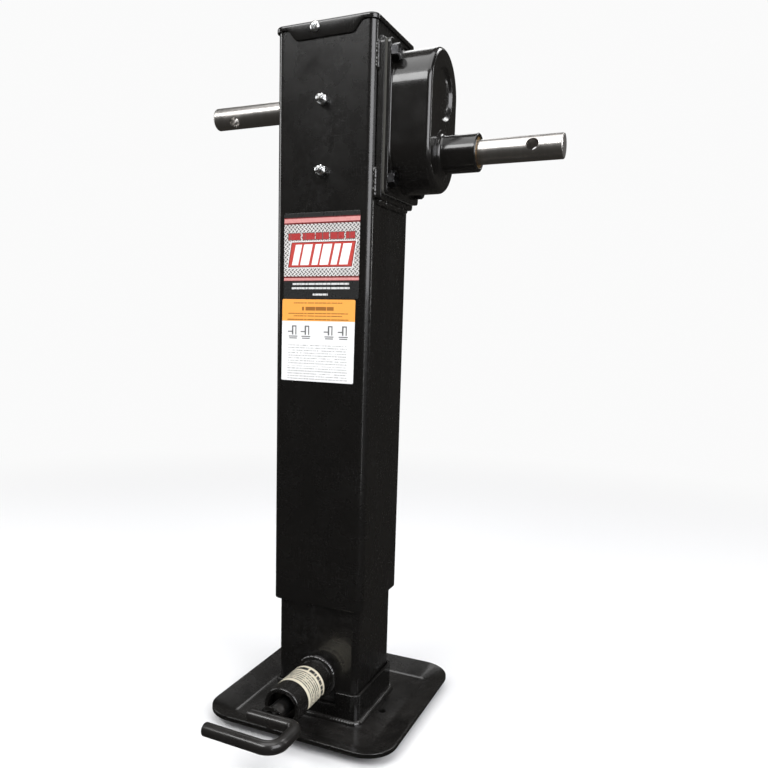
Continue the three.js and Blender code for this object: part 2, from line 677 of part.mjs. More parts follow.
const housing = group(0, 0, 0,
  piece("outer_tube", outerTube(), paint),
  piece("top_cap", topCap(), paint),
  piece("cap_screw", capScrew(), zinc, -9, 0, 676.6),
  piece("grease_nipple_upper", greaseNipple(), zinc, 0, 0, 612.6),
  piece("grease_nipple_lower", greaseNipple(), zinc, 0, 0, 550),
  piece("gearbox_base_plate", basePlate(), paint),
  piece("gearbox_gasket", gasket(), gasketPaper),
  piece("gearbox_cover", gearboxCover(), paint),
  ...boltPlaces.map(([y, z], i) => piece(`cover_bolt_${i + 1}`, coverBolt(), darkSteel, 0, y, z)),
  piece("bearing_plate", bearingPlate(), darkSteel),
  piece("thrust_race_upper", thrustRace(BEARING.highRace), steel),
  piece("thrust_ball_cage", ballCage(), steel),
  piece("upper_label", frontLabel(79.5, 80.4), labelRed, 0, 0, 472.8),
  piece("lower_label", frontLabel(78, 79), labelFilm, -2.5, 0, 392.5),
);

const shaftSupports = group(0, 0, CROSS.z,
  piece("left_hub", leftHub(), paint),
  piece("left_bushing", bushing(-60, -45.8), bronze),
  piece("cross_shaft_bushing", bushing(45.8, 61), bronze),
  piece("cross_shaft_end_bushing", bushing(84, 91), bronze),
);

const inputSupports = group(0, 0, INPUT.z,
  piece("input_hub", inputHub(), paint),
  piece("input_bushing", bushing(93, HUB.outer - 1), bronze),
  piece("pilot_bushing", bushing(50.8, 61), bronze),
);

const inputShaft = group(0, 0, INPUT.z,
  piece("input_shaft", crankShaft(INPUT, [PINION.pinX]), steel),
  piece("input_pinion", inputPinion(), darkSteel),
  piece("input_pinion_pin", lockPin(2 * PINION.hubR - 2), darkSteel, PINION.pinX, 0, 0),
);

const crossShaft = group(0, 0, CROSS.z,
  piece("cross_shaft", crankShaft(CROSS, [REDUCTION.pinX, BEVEL_PIN_X]), steel),
  piece("reduction_gear", reductionGear(), darkSteel),
  piece("reduction_gear_pin", lockPin(2 * HUB_R - 2), darkSteel, REDUCTION.pinX, 0, 0),
  piece("bevel_pinion", bevelPinion(), darkSteel),
  piece("bevel_pinion_pin", lockPin(32), darkSteel, BEVEL_PIN_X, 0, 0),
);

const crossPin = (length) => lockPin(length).rotate([90, 0, 0]);
const screw = group(0, 0, 0,
  piece("lead_screw", leadScrew(), steel),
  piece("thrust_race_lower", thrustRace(BEARING.lowRace), steel),
  piece("bevel_gear", bevelGear(), darkSteel, 0, 0, CROSS.z),
  piece("bevel_gear_pin", crossPin(38), darkSteel, 0, 0, CROSS.z - 38),
  piece("stop_collar", stopCollar(), darkSteel),
  piece("stop_collar_pin", crossPin(38), darkSteel, 0, 0, SCREW.bottom - 4),
);

const ram = group(0, 0, 0,
  piece("ram_tube", ramTube(), paint),
  piece("screw_nut", screwNut(), bronze),
  piece("plunger_housing", plungerHousing(), paint, 0, 0, PIN_Z),
  piece("spring_seat", springSeat(), darkSteel, 0, 0, PIN_Z),
  piece("plunger_spring", plungerSpring(), darkSteel, 0, 0, PIN_Z),
  piece("plunger_label", plungerLabel(), labelFilm, 0, 0, PIN_Z),
);

const plunger = group(0, 0, PIN_Z,
  piece("spring_washer", springWasher(), zinc),
  piece("plunger_pin", plungerPin(), darkSteel),
  piece("plunger_cross_pin", plungerCrossPin(), darkSteel),
  piece("plunger_handle", plungerHandle(), paint),
);

const leg = group(0, 0, 0,
  piece("drop_leg", dropLeg(), paint),
  piece("foot_plate", footPlate(), paint),
  piece("foot_collar", footCollar(), paint),
);

const jack = new THREE.Group();
jack.add(housing, shaftSupports, inputSupports, inputShaft, crossShaft, screw, ram, plunger, leg);

export default jack;
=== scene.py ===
# %% [markdown]
# This lesson dresses a heavy trailer jack. On the real jack a square outer tube is welded to the trailer,
# a square ram slides out of it on a lead screw, and a drop leg with a dished foot slides inside the ram.
# The imported model already has every solid in its true place, in metres, so the lesson starts by loading it.
# The finished jack has to fill the same space.

# %% Load the imported jack
import json
import math

import bmesh
import bpy
import numpy as np
from mathutils import Matrix, Vector


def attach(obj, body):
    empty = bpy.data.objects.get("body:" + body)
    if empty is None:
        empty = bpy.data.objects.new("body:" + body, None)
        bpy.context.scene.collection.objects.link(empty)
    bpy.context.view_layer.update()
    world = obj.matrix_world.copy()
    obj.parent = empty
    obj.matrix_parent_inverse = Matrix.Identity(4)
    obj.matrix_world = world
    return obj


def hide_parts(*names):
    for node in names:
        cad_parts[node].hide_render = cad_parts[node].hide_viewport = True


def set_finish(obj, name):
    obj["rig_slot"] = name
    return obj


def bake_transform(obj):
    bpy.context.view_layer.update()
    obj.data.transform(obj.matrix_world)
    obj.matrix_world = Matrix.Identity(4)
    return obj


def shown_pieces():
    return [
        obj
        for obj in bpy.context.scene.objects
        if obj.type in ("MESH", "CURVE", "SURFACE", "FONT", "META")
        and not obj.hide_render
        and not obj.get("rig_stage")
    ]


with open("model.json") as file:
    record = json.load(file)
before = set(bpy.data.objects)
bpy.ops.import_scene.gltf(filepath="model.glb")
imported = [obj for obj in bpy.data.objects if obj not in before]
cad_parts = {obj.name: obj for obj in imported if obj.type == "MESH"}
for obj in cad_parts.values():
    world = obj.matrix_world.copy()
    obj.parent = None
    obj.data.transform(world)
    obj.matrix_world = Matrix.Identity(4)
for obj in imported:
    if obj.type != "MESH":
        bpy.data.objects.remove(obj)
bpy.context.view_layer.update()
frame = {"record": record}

scene = bpy.context.scene
MM = 0.001
TURN = 2 * math.pi

# %% [markdown]
# The camera could be aimed with a constraint, but a written-out frame keeps its slight roll. It stands to the
# right of the front and a little above the middle of the tube. Its three axes come from an azimuth, an
# elevation and a roll, and a small shift sets the jack off centre in the square frame.

# %% Camera
AZIMUTH, ELEVATION, ROLL = (math.radians(a) for a in (25.772, 8.937, 1.007))
DISTANCE = 801.155 * MM
TARGET = Vector((-15.97, 0.0, 288.228)) * MM
FRAME_SIDE, SENSOR = 768.0, 36.0
FOCAL, CENTRE_X, CENTRE_Y = 759.93, 325.61, 439.51

back = Vector((
    math.sin(AZIMUTH) * math.cos(ELEVATION), -math.cos(AZIMUTH) * math.cos(ELEVATION), math.sin(ELEVATION),
))
level = Vector((0, 0, 1)).cross(back).normalized()
rise = back.cross(level)
camera_x = math.cos(ROLL) * level + math.sin(ROLL) * rise
camera_y = math.cos(ROLL) * rise - math.sin(ROLL) * level
camera = bpy.data.objects.new("camera", bpy.data.cameras.new("camera"))
camera.matrix_world = Matrix.Translation(TARGET + back * DISTANCE) @ Matrix(
    (camera_x, camera_y, back)).transposed().to_4x4()
camera.data.sensor_width = SENSOR
camera.data.lens = SENSOR * FOCAL / FRAME_SIDE
camera.data.shift_x = 0.5 - CENTRE_X / FRAME_SIDE
camera.data.shift_y = CENTRE_Y / FRAME_SIDE - 0.5
camera.data.clip_start = 0.01
scene.collection.objects.link(camera)
scene.camera = camera
print("camera at", [round(c, 3) for c in camera.matrix_world.translation], "lens", round(camera.data.lens, 2))

# %% [markdown]
# Gloss black paint shows little but what it mirrors, so the studio is laid out by reflections. Upright faces
# mirror the room level with them, and round shafts mirror what is above and below. The room is therefore dim
# at eye level, with soft panels overhead and narrow upright strips for the long highlights on the corners.
# The floor is pale, but mirror reflections do not see it, as if dark cloth lay round the jack. Further out
# its own colour fades and the backdrop's glow takes over, which leaves only a soft edge where the two meet.

# %% Studio room and lights
FLOOR_Z = -0.3 * MM
NEAR_FLOOR, FAR_FLOOR = 0.42, 9.0
FADE_START, FADE_END = 0.4, 1.7
AIM_Z = 0.35
BACKDROP = (0.96, 0.96, 0.96, 1)


def node(tree, kind, inputs=None, **settings):
    """Adds a node of this kind. A setting is set on it, and each input takes a value or another's output."""
    made = tree.nodes.new("ShaderNode" + kind)
    for key, value in settings.items():
        setattr(made, key, value)
    for key, value in (inputs or {}).items():
        if isinstance(value, bpy.types.NodeSocket):
            tree.links.new(value, made.inputs[key])
        else:
            made.inputs[key].default_value = value
    return made


def mix(share, first, second):
    """first where share is 0 and second where it is 1."""
    return node(share.id_data, "Mix", {0: share, 6: first, 7: second}, data_type="RGBA").outputs[2]


def angles(count):
    """Equal steps round one turn, from 0."""
    return np.arange(count) / count * TURN


def polar(radius, angle, along):
    """Points at a radius and an angle round an axis, and a distance along it."""
    return np.stack(np.broadcast_arrays(radius * np.cos(angle), radius * np.sin(angle), along), axis=-1)


def set_up_room():
    world = bpy.data.worlds.new("studio")
    scene.world = world
    world.use_nodes = True
    tree = world.node_tree
    tree.nodes.clear()
    ray = node(tree, "LightPath")
    dim_or_soft = mix(ray.outputs["Is Glossy Ray"], (0.40, 0.405, 0.42, 1), (0.035, 0.033, 0.03, 1))
    seen = mix(ray.outputs["Is Camera Ray"], dim_or_soft, BACKDROP)
    glow = node(tree, "Background", {"Color": seen, "Strength": 1.0})
    end = node(tree, "OutputWorld")
    tree.links.new(glow.outputs[0], end.inputs[0])


def floor_ring(name, inner, outer, steps, facets=96):
    """A flat ring between two radii: rings of points at radii that grow evenly, joined by quads."""
    radius = np.linspace(inner, outer, steps)
    points = polar(radius[:, None], angles(facets), FLOOR_Z).reshape(-1, 3)
    ids = np.arange(steps * facets).reshape(steps, facets)
    right = np.roll(ids, -1, axis=1)
    quads = np.stack([ids[:-1], ids[1:], right[1:], right[:-1]], axis=-1).reshape(-1, 4)
    mesh = bpy.data.meshes.new(name)
    mesh.from_pydata(points.tolist(), [], quads.tolist())
    ring = bpy.data.objects.new(name, mesh)
    scene.collection.objects.link(ring)
    ring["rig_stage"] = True
    return ring


def soft_panel(name, azimuth, height, distance, width, tall, watts, tint=(1, 1, 1)):
    """A rectangular soft light at an azimuth round the jack, counted from the front towards the gearbox."""
    lamp = bpy.data.lights.new(name, "AREA")
    lamp.shape, lamp.size, lamp.size_y = "RECTANGLE", width, tall
    lamp.energy, lamp.color = watts, tint
    panel = bpy.data.objects.new(name, lamp)
    turn = math.radians(azimuth)
    place = Vector((math.sin(turn) * distance, -math.cos(turn) * distance, height))
    panel.matrix_world = Matrix.Translation(place) @ (
        Vector((0, 0, AIM_Z)) - place).to_track_quat("-Z", "Y").to_matrix().to_4x4()
    scene.collection.objects.link(panel)


set_up_room()
floor_stuff = bpy.data.materials.new("studio_floor")
floor_stuff.use_nodes = True
floor_tree = floor_stuff.node_tree
floor_shader = floor_tree.nodes["Principled BSDF"]
distance = node(floor_tree, "VectorMath", {0: node(floor_tree, "TexCoord").outputs["Object"]},
                operation="LENGTH").outputs["Value"]
away = node(floor_tree, "MapRange", {"Value": distance, "From Min": FADE_START, "From Max": FADE_END},
            interpolation_type="SMOOTHSTEP").outputs["Result"]
pale = mix(away, (0.86, 0.86, 0.86, 1), (0, 0, 0, 1))
glowing = mix(away, (0, 0, 0, 1), BACKDROP)
floor_tree.links.new(pale, floor_shader.inputs["Base Color"])
floor_tree.links.new(glowing, floor_shader.inputs["Emission Color"])
floor_shader.inputs["Emission Strength"].default_value = 1.0
floor_shader.inputs["Specular IOR Level"].default_value = 0.0
floor_shader.inputs["Roughness"].default_value = 0.9
for part in (floor_ring("floor_near", 0.0005, NEAR_FLOOR, 8), floor_ring("floor_far", NEAR_FLOOR, FAR_FLOOR, 12)):
    part.visible_glossy = False
    part.data.materials.append(floor_stuff)

soft_panel("panel_over", 20, 1.75, 0.35, 1.5, 1.2, 12)
soft_panel("panel_front", -22, 1.55, 1.35, 1.2, 0.5, 15)
soft_panel("panel_right", 66, 1.0, 1.5, 1.1, 1.1, 18, tint=(0.97, 0.97, 1))
soft_panel("strip_edge", 44, 0.55, 1.9, 0.05, 1.5, 2)
soft_panel("strip_far", 122, 0.9, 1.6, 0.1, 1.0, 3)
soft_panel("panel_left", -82, 0.85, 1.5, 0.5, 0.9, 5)
soft_panel("panel_back", 205, 1.6, 1.4, 0.8, 0.8, 4)
soft_panel("panel_far_right", 152, 1.7, 1.3, 0.6, 0.4, 4)

# %% [markdown]
# Nearly every part of the jack is a section carried along something: a wall round a square, a profile round
# an axis, a bar along a bend. A few numpy helpers make such surfaces as whole grids. Corners of a section
# are eased into small arcs, because on the real jack no edge is perfectly sharp, and each long straight gets a
# point just inside both ends. Those points keep flat faces flat in the shading, and let arcs shade round.

# %% Sections, arcs and supports
AXES = {  # local (across, up, along) to the jack's x, y, z
    "Z": np.array([[1, 0, 0], [0, 1, 0], [0, 0, 1]], float),
    "X": np.array([[0, 1, 0], [0, 0, 1], [1, 0, 0]], float),
    "FRONT": np.array([[1, 0, 0], [0, 0, 1], [0, -1, 0]], float),
}
SIDE = np.array([0.012, 0.988])


def eased(points, radius, closed=True, steps=6):
    """Turns corners into arcs. An arc of radius r starts r / tan(half the corner's angle) before the corner, and
    its centre lies r / sin(half the angle) from it on the bisector. A radius of 0 keeps the corner."""
    points = np.asarray(points, float)
    radii = np.broadcast_to(np.asarray(radius, float), (len(points),))
    made = []
    for i, r in enumerate(radii):
        if r == 0 or (not closed and i in (0, len(points) - 1)):
            made.append(points[i:i + 1])
            continue
        corner = points[i]
        ahead, behind = points[(i + 1) % len(points)] - corner, points[i - 1] - corner
        lengths = np.linalg.norm(ahead), np.linalg.norm(behind)
        ahead, behind = ahead / lengths[0], behind / lengths[1]
        half = math.acos(np.clip(ahead @ behind, -1, 1)) / 2
        reach = min(r / math.tan(half), 0.49 * min(lengths))
        middle = (ahead + behind) / np.linalg.norm(ahead + behind)
        centre = corner + middle * reach / math.cos(half)
        start, end = corner + behind * reach - centre, corner + ahead * reach - centre
        turn = math.pi - 2 * half
        share = np.linspace(0, 1, steps)[:, None]
        made.append(centre + (np.sin((1 - share) * turn) * start + np.sin(share * turn) * end) / math.sin(turn))
    return np.concatenate(made)


def supported(points, closed=True, reach=0.7):
    """Adds a point at this reach inside both ends of every straight longer than four reaches."""
    points = np.asarray(points, float)
    after = np.roll(points, -1, axis=0) if closed else points[1:]
    start = points if closed else points[:-1]
    length = np.linalg.norm(after - start, axis=1, keepdims=True)
    share = reach / np.maximum(length, 4 * reach)
    step = (after - start) * share
    long = length[:, 0] > 4 * reach
    keep = np.stack([np.ones(len(start), bool), long, long], axis=1)
    made = np.stack([start, start + step, after - step], axis=1)[keep]
    return made if closed else np.vstack([made, points[-1:]])


def rounded(half_w, half_h, corner, arc=9, side=SIDE):
    """A rectangle with round corners, counterclockwise: a quarter circle at each corner, and points at the
    given shares of each straight edge."""
    turn = np.linspace(0, math.pi / 2, arc)
    corners = []
    for quarter, sign in enumerate(((1, 1), (-1, 1), (-1, -1), (1, -1))):
        angle = turn + quarter * math.pi / 2
        centre = np.array(sign) * (half_w - corner, half_h - corner)
        corners.append(centre + corner * np.column_stack([np.cos(angle), np.sin(angle)]))
    made = []
    for this, following in zip(corners, corners[1:] + corners[:1]):
        made += [this, this[-1] + (following[0] - this[-1]) * side[:, None]]
    return np.concatenate(made)


def placed(points, axis="Z", centre=(0, 0, 0)):
    return points @ AXES[axis] + np.array(centre, float)


def unit(rows):
    """Each row divided by its length."""
    return rows / np.linalg.norm(rows, axis=1, keepdims=True)


def lifted(flat, z):
    """A flat outline at one height, or with a height for each of its points."""
    return np.column_stack([flat, np.broadcast_to(z, len(flat))])


def upright(flat, x):
    """An outline in y and z, stood up at this x."""
    return np.column_stack([np.full(len(flat), x), flat])


def travelled(path):
    """The distance along a polyline at each of its points."""
    return np.concatenate([[0], np.cumsum(np.linalg.norm(np.diff(path, axis=0), axis=1))])


def resampled(path, travel, stops):
    """A polyline's points at these distances along it."""
    return np.column_stack([np.interp(stops, travel, path[:, axis]) for axis in range(3)])


print("a tube's outline has", len(rounded(50, 50, 8)), "points")

# %% [markdown]
# A stack of rings becomes a closed skin: neighbouring rings are joined by quads, and the ends are either
# joined to each other, as on a tube's wall, or closed with one flat face. Carrying the same idea round an
# axis gives turned parts, and along a path gives bars, springs and weld metal.

# %% Skins from rings
def skin(rings, closed=False):
    """Quads between neighbouring rings, shape (rows, n, 3). A closed skin joins its last ring to its first."""
    rows, count = rings.shape[:2]
    ids = np.arange(rows * count).reshape(rows, count)
    walk = np.vstack([ids, ids[:1]]) if closed else ids
    right = np.roll(walk, -1, axis=1)
    faces = np.stack([walk[:-1], right[:-1], right[1:], walk[1:]], axis=-1).reshape(-1, 4).tolist()
    if not closed:
        faces += [ids[0][::-1].tolist(), ids[-1].tolist()]
    return rings.reshape(-1, 3), faces


def framed(half_w, half_h, corner, profile, axis="Z", centre=(0, 0, 0), closed=True, arc=9):
    """A profile of (offset, along) rows carried round a rounded rectangle. Each row's ring is the rectangle
    grown by its offset, with its corner radius grown by as much."""
    rings = []
    for offset, along in profile:
        flat = rounded(half_w + offset, half_h + offset, max(corner + offset, 0.4), arc)
        rings.append(lifted(flat, along))
    return skin(placed(np.array(rings), axis, centre), closed)


def turned(profile, axis="Z", centre=(0, 0, 0), facets=72, closed=False, across=None):
    """A profile of (radius, along) rows turned round an axis. With across, rows whose third number is 1 are
    cut to a hexagon: the radius is at most half of across over the cosine of the angle to the nearest flat."""
    profile = np.asarray(profile, float)
    angle = angles(facets)
    radius = np.repeat(profile[:, :1], facets, axis=1)
    if across:
        sixth = TURN / 6
        flats = across / 2 / np.cos((angle + sixth / 2) % sixth - sixth / 2)
        radius = np.where(profile[:, 2:3] == 1, np.minimum(radius, flats), radius)
    return skin(placed(polar(radius, angle, profile[:, 1:2]), axis, centre), closed)


def carried(path, first, second, section, closed=False):
    """A section (n, 2) or (m, n, 2) carried along a path (m, 3): each of its points lies at the path's point
    plus its first number times the first direction plus its second number times the second."""
    section = np.broadcast_to(section, (len(path),) + np.shape(section)[-2:])
    rings = path[:, None] + section[..., :1] * first[:, None] + section[..., 1:] * second[:, None]
    return skin(rings, closed)


def circle(radius, count):
    return polar(radius, angles(count), 0)[:, :2]


print("helpers ready")

# %% [markdown]
# Each piece becomes one object at the origin, with its place in its mesh. Its faces are turned outward, and
# edges sharper than a limit stay crisp. Every piece says which body carries it and which of the record's
# finishes it has, and the imported solids it stands for are hidden. Holes are drilled with a cutter and the
# Boolean modifier, which is applied at once, as a drill leaves nothing behind.

# %% Pieces and drilling
pieces_made = {}


def piece(name, shells, body, slot, stands_for=(), sharp=34):
    """One object from closed shells in millimetres. A piece with no body is not attached to any."""
    points, faces, start = [], [], 0
    for shell_points, shell_faces in shells:
        points.append(shell_points)
        faces += [[corner + start for corner in face] for face in shell_faces]
        start += len(shell_points)
    mesh = bpy.data.meshes.new(name)
    mesh.from_pydata((np.concatenate(points) * MM).tolist(), [], faces)
    finish_mesh(mesh, sharp)
    made = bpy.data.objects.new(name, mesh)
    scene.collection.objects.link(made)
    if body:
        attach(made, body)
    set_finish(made, slot)
    if stands_for:
        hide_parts(*([stands_for] if isinstance(stands_for, str) else stands_for))
    pieces_made[name] = made
    return made


def finish_mesh(mesh, sharp):
    """Merges doubles, turns faces outward, and shades smooth except across sharp edges."""
    edit = bmesh.new()
    edit.from_mesh(mesh)
    bmesh.ops.remove_doubles(edit, verts=edit.verts, dist=2e-7)
    bmesh.ops.recalc_face_normals(edit, faces=edit.faces)
    edit.to_mesh(mesh)
    edit.free()
    mesh.polygons.foreach_set("use_smooth", np.ones(len(mesh.polygons), bool))
    mesh.set_sharp_from_angle(angle=math.radians(sharp))


def drill(target, shells, sharp=34):
    """Cuts closed shells out of a piece."""
    for points, faces in shells:
        mesh = bpy.data.meshes.new("cutter")
        mesh.from_pydata((points * MM).tolist(), [], faces)
        finish_mesh(mesh, sharp)
        cutter = bpy.data.objects.new("cutter", mesh)
        scene.collection.objects.link(cutter)
        step = target.modifiers.new("drill", "BOOLEAN")
        step.object, step.operation, step.solver = cutter, "DIFFERENCE", "EXACT"
        bpy.context.view_layer.update()
        cut = bpy.data.meshes.new_from_object(target.evaluated_get(bpy.context.evaluated_depsgraph_get()))
        target.modifiers.clear()
        old, target.data = target.data, cut
        bpy.data.meshes.remove(old)
        bpy.data.objects.remove(cutter)
        bpy.data.meshes.remove(mesh)
    target.data.name = target.name
    target.data.set_sharp_from_angle(angle=math.radians(sharp))


def rod(radius, start, end, axis="Z", centre=(0, 0, 0), facets=48):
    """A plain cutter."""
    return turned([(radius, start), (radius, end)], axis, centre, facets)


print("pieces ready")

# %% [markdown]
# Three square tubes nest in each other: the outer tube, the ram and the drop leg. Each is cut from hollow
# section, so its wall is one closed profile carried round a square with rolled corners. A subdivided box
# would need many loops to hold those corners, and a profile needs none.

# %% Square tubes
OUTER_BOTTOM, OUTER_TOP = 125.0, 680.1
CROSS_Z, INPUT_Z = 620.0, 566.0
PIN_Z = 46.5
NIPPLES = {"upper": 612.6, "lower": 550.0}
CAP_SCREW = (-9, 0, 676.6)
HOLE_PITCH, HOLE_COUNT, HOLE_R = 38.1, 10, 8.85


def square_tube(side, wall, corner, bottom, top, edge=0.7):
    profile = eased([(0, bottom), (0, top), (-wall, top), (-wall, bottom)], edge, steps=5)
    return framed(side / 2, side / 2, corner, supported(profile), arc=11)


outer = piece("outer_tube_body", [square_tube(100, 4.5, 8, OUTER_BOTTOM, OUTER_TOP)],
              "housing", "black_paint", "outer_tube")
cap_screw_hole = rod(2.9, 40, 60, "FRONT", CAP_SCREW)
nipple_holes = [rod(3.8, 40, 60, "FRONT", (0, 0, z)) for z in NIPPLES.values()]
drill(outer, [rod(14.2, -60, 60, "X", (0, 0, CROSS_Z))] + nipple_holes + [cap_screw_hole])
ram = piece("ram_tube_body", [square_tube(90, 4.5, 6, 8, 530)], "ram", "black_paint", "ram_tube")
drill(ram, [rod(8.15, 35, 50, "FRONT", (0, 0, PIN_Z))])
leg = piece("drop_leg_body", [square_tube(80, 4, 6, 4.8, 480)], "leg", "black_paint", "drop_leg")
drill(leg, [rod(HOLE_R, 30, 50, "FRONT", (0, 0, PIN_Z + i * HOLE_PITCH)) for i in range(HOLE_COUNT)])
print("tubes have", [len(o.data.polygons) for o in (outer, ram, leg)], "faces")

# %% [markdown]
# The lid is one piece of sheet, folded over the tube. Its skirt is shallow at the sides and drops into a
# deeper tab at the front and the back, with a soft S between them. Only the skirt's lower edge changes round
# the outline, so the lid is rings of the outline whose last rows follow a lower edge z(x) in place of a flat one.

# %% Lid and its screw
LID_TOP, SKIRT_Z, TAB_DROP = 682.0, 677.0, 10.0
TAB_FLAT, TAB_END = 27.5, 39.0


def smooth_step(value, start, end):
    """0 before start, 1 after end, and 3t^2 - 2t^3 between."""
    t = np.clip((value - start) / (end - start), 0, 1)
    return t * t * (3 - 2 * t)


def lid():
    """Rows are (inset, z) from the middle of the top over the fold and down the skirt, then back inside."""
    side = np.linspace(0, 1, 62)[1:-1]
    half, corner, sheet = 51.8, 8.8, 1.6
    fold = eased([(30, LID_TOP), (0, LID_TOP), (0, SKIRT_Z)], [0, 2.2, 0], closed=False, steps=8)
    inner_fold = eased([(30, LID_TOP - sheet), (sheet, LID_TOP - sheet), (sheet, SKIRT_Z)], [0, 0.8, 0],
                       closed=False, steps=5)
    rows = np.vstack([fold[:-1], (0, SKIRT_Z + 0.5), (0.12, SKIRT_Z + 0.12), (0.5, SKIRT_Z), (1.1, SKIRT_Z),
                      (1.48, SKIRT_Z + 0.12), (sheet, SKIRT_Z + 0.5), inner_fold[-2::-1]])
    rings = []
    for inset, z in rows:
        flat = rounded(half - inset, half - inset, max(corner - inset, 0.4), 9, side)
        on_front = np.abs(flat[:, 1]) > half - inset - 0.01
        drop = TAB_DROP * (1 - smooth_step(np.abs(flat[:, 0]), TAB_FLAT, TAB_END)) * on_front
        hem = z < SKIRT_Z + 0.6
        rings.append(lifted(flat, z - drop * hem))
    return skin(np.array(rings))


cap = piece("cap_lid", [lid()], "housing", "black_paint", "top_cap", sharp=40)


def screw_head(facets=96):
    """A domed head on a polar grid. A cross of two slots, narrow bands round each axis that fade out past a
    radius, is pressed into the dome."""
    profile = np.array([(4.95, 51.95), (5.0, 52.5), (4.6, 53.4), (3.9, 54.15), (3.2, 54.65), (2.7, 54.9),
                        (2.3, 55.03), (1.9, 55.1), (1.5, 55.15), (1.1, 55.18), (0.7, 55.2), (0.3, 55.2),
                        (0.05, 55.2)])
    angle = angles(facets)
    x, y = (profile[:, :1] * f(angle) for f in (np.cos, np.sin))
    slots = 1 - np.minimum(smooth_step(np.abs(x), 0.35, 0.6), smooth_step(np.abs(y), 0.35, 0.6))
    depth = 1.3 * slots * (1 - smooth_step(np.hypot(x, y), 2.0, 2.8))
    head = np.stack([x, y, profile[:, 1:] - depth], axis=-1)
    shank = [polar(radius, angle, along) for radius, along in ((2.5, 44.0), (2.5, 51.9), (4.9, 51.9))]
    return skin(placed(np.concatenate([shank, head]), "FRONT", CAP_SCREW))


piece("cap_screw_body", [screw_head()], "housing", "zinc_plate", "cap_screw")
drill(cap, [cap_screw_hole], sharp=40)
print("lid has", len(cap.data.polygons), "faces")

# %% [markdown]
# The gearbox is a stack on the tube's side: a welded plate, a paper gasket, and a pressed cover with a bolting
# flange. The plate and gasket are rounded rectangles. The cover is drawn from one sheet, so it is modelled as
# one skin that runs from its inside, round the flange, up the wall, over the rolled edge and down into a round
# dish. Each of its rings has the same number of points, so a rectangle can melt into a rounded slot and that
# slot into a circle.

# %% Gearbox plate and gasket
PLATE_TOP, PLATE_BOTTOM, FLANGE_BOTTOM, PLATE_HALF = 662.0, 523.0, 528.0, 43.0
LOBE_R, CAVITY_R, LOW_Z = 40.0, 37.2, 571.9
PLATE_CORNER = 4
BOLTS = [(-37.0, 541.0), (37.0, 541.0), (-37.0, 650.0), (37.0, 650.0)]


def layer(start, end, bottom, edge):
    """A flat plate on the tube's side, with its edges eased."""
    half_h = (PLATE_TOP - bottom) / 2
    profile = eased([(-15, start), (0, start), (0, end), (-15, end)], [0, edge, edge, 0], closed=False, steps=5)
    return framed(PLATE_HALF, half_h, PLATE_CORNER, supported(profile, closed=False), "X",
                  (0, 0, PLATE_TOP - half_h), closed=False)


def slot_outline(radius):
    """A slot standing on end: half circles about both lobe centres, with straights between them. The half
    circles have more points where the flange's corners lie."""
    low, high = 41 / 180 * math.pi, 49 / 180 * math.pi
    bow = np.unique(np.concatenate([np.linspace(0, math.pi, 45), np.linspace(low, high, 8),
                                    math.pi - np.linspace(low, high, 8)]).round(6))
    share = np.linspace(0, 1, 12)[1:-1, None]
    top = np.column_stack([radius * np.cos(bow), CROSS_Z + radius * np.sin(bow)])
    end = np.column_stack([-radius * np.cos(bow), LOW_Z - radius * np.sin(bow)])
    return np.concatenate([top, top[-1] + (end[0] - top[-1]) * share, end, end[-1] + (top[0] - end[-1]) * share])


def slot_ring(radius, x):
    return upright(slot_outline(radius), x)


cavity = skin(np.array([slot_ring(CAVITY_R, x) for x in (40, 70)]))
bolt_holes = [rod(4.3, 40, 70, "X", (0, y, z), 24) for y, z in BOLTS]
plate = piece("gearbox_plate_body", [layer(50.3, 56.5, PLATE_BOTTOM, 0.6)], "housing", "black_paint",
              "gearbox_base_plate")
drill(plate, [rod(14.2, 40, 70, "X", (0, 0, z)) for z in (CROSS_Z, INPUT_Z)] + bolt_holes)
gasket = piece("gasket_body", [layer(56.75, 59.1, FLANGE_BOTTOM, 0.25)], "housing", "gasket", "gearbox_gasket")
drill(gasket, [cavity] + bolt_holes)
print("plate and gasket cut for", len(BOLTS), "bolts")

# %% [markdown]
# The cover is deep-drawn from one sheet: a flat flange, a fillet, a drafted wall, a rounded fold and a flat face
# with a shallow round dish. Its outline is a slot, two arcs joined by straight sides. Every ring of the surface is
# that outline at its own size and height, so the draft and both rolls are exact. A sculpted box would not be.

# %% Gearbox cover
FLANGE_MIDDLE = (PLATE_TOP + FLANGE_BOTTOM) / 2
FLANGE_HALF = (PLATE_TOP - FLANGE_BOTTOM) / 2


def flange_outline(inset):
    """Each point of the slot outline moved out along its own normal until it meets a rounded rectangle. The
    distance to that rectangle shrinks by halves in a bisection, on all points at once."""
    flat = slot_outline(LOBE_R)
    core = np.column_stack([np.zeros(len(flat)), np.clip(flat[:, 1], LOW_Z, CROSS_Z)])
    ahead = (flat - core) / LOBE_R
    near, far = np.zeros(len(flat)), np.full(len(flat), 40.0)
    corner = PLATE_CORNER - inset
    half = np.array([PLATE_HALF - inset, FLANGE_HALF - inset]) - corner
    for _ in range(26):
        middle = (near + far) / 2
        place = flat + ahead * middle[:, None] - (0, FLANGE_MIDDLE)
        beyond = np.linalg.norm(np.maximum(np.abs(place) - half, 0), axis=1) > corner
        near, far = np.where(beyond, near, middle), np.where(beyond, middle, far)
    return flat + ahead * near[:, None]


def dish_ring(radius, x):
    """A circle about the upper lobe, each point in the direction of the slot outline's point."""
    return upright(radius * unit(slot_outline(LOBE_R) - (0, CROSS_Z)) + (0, CROSS_Z), x)


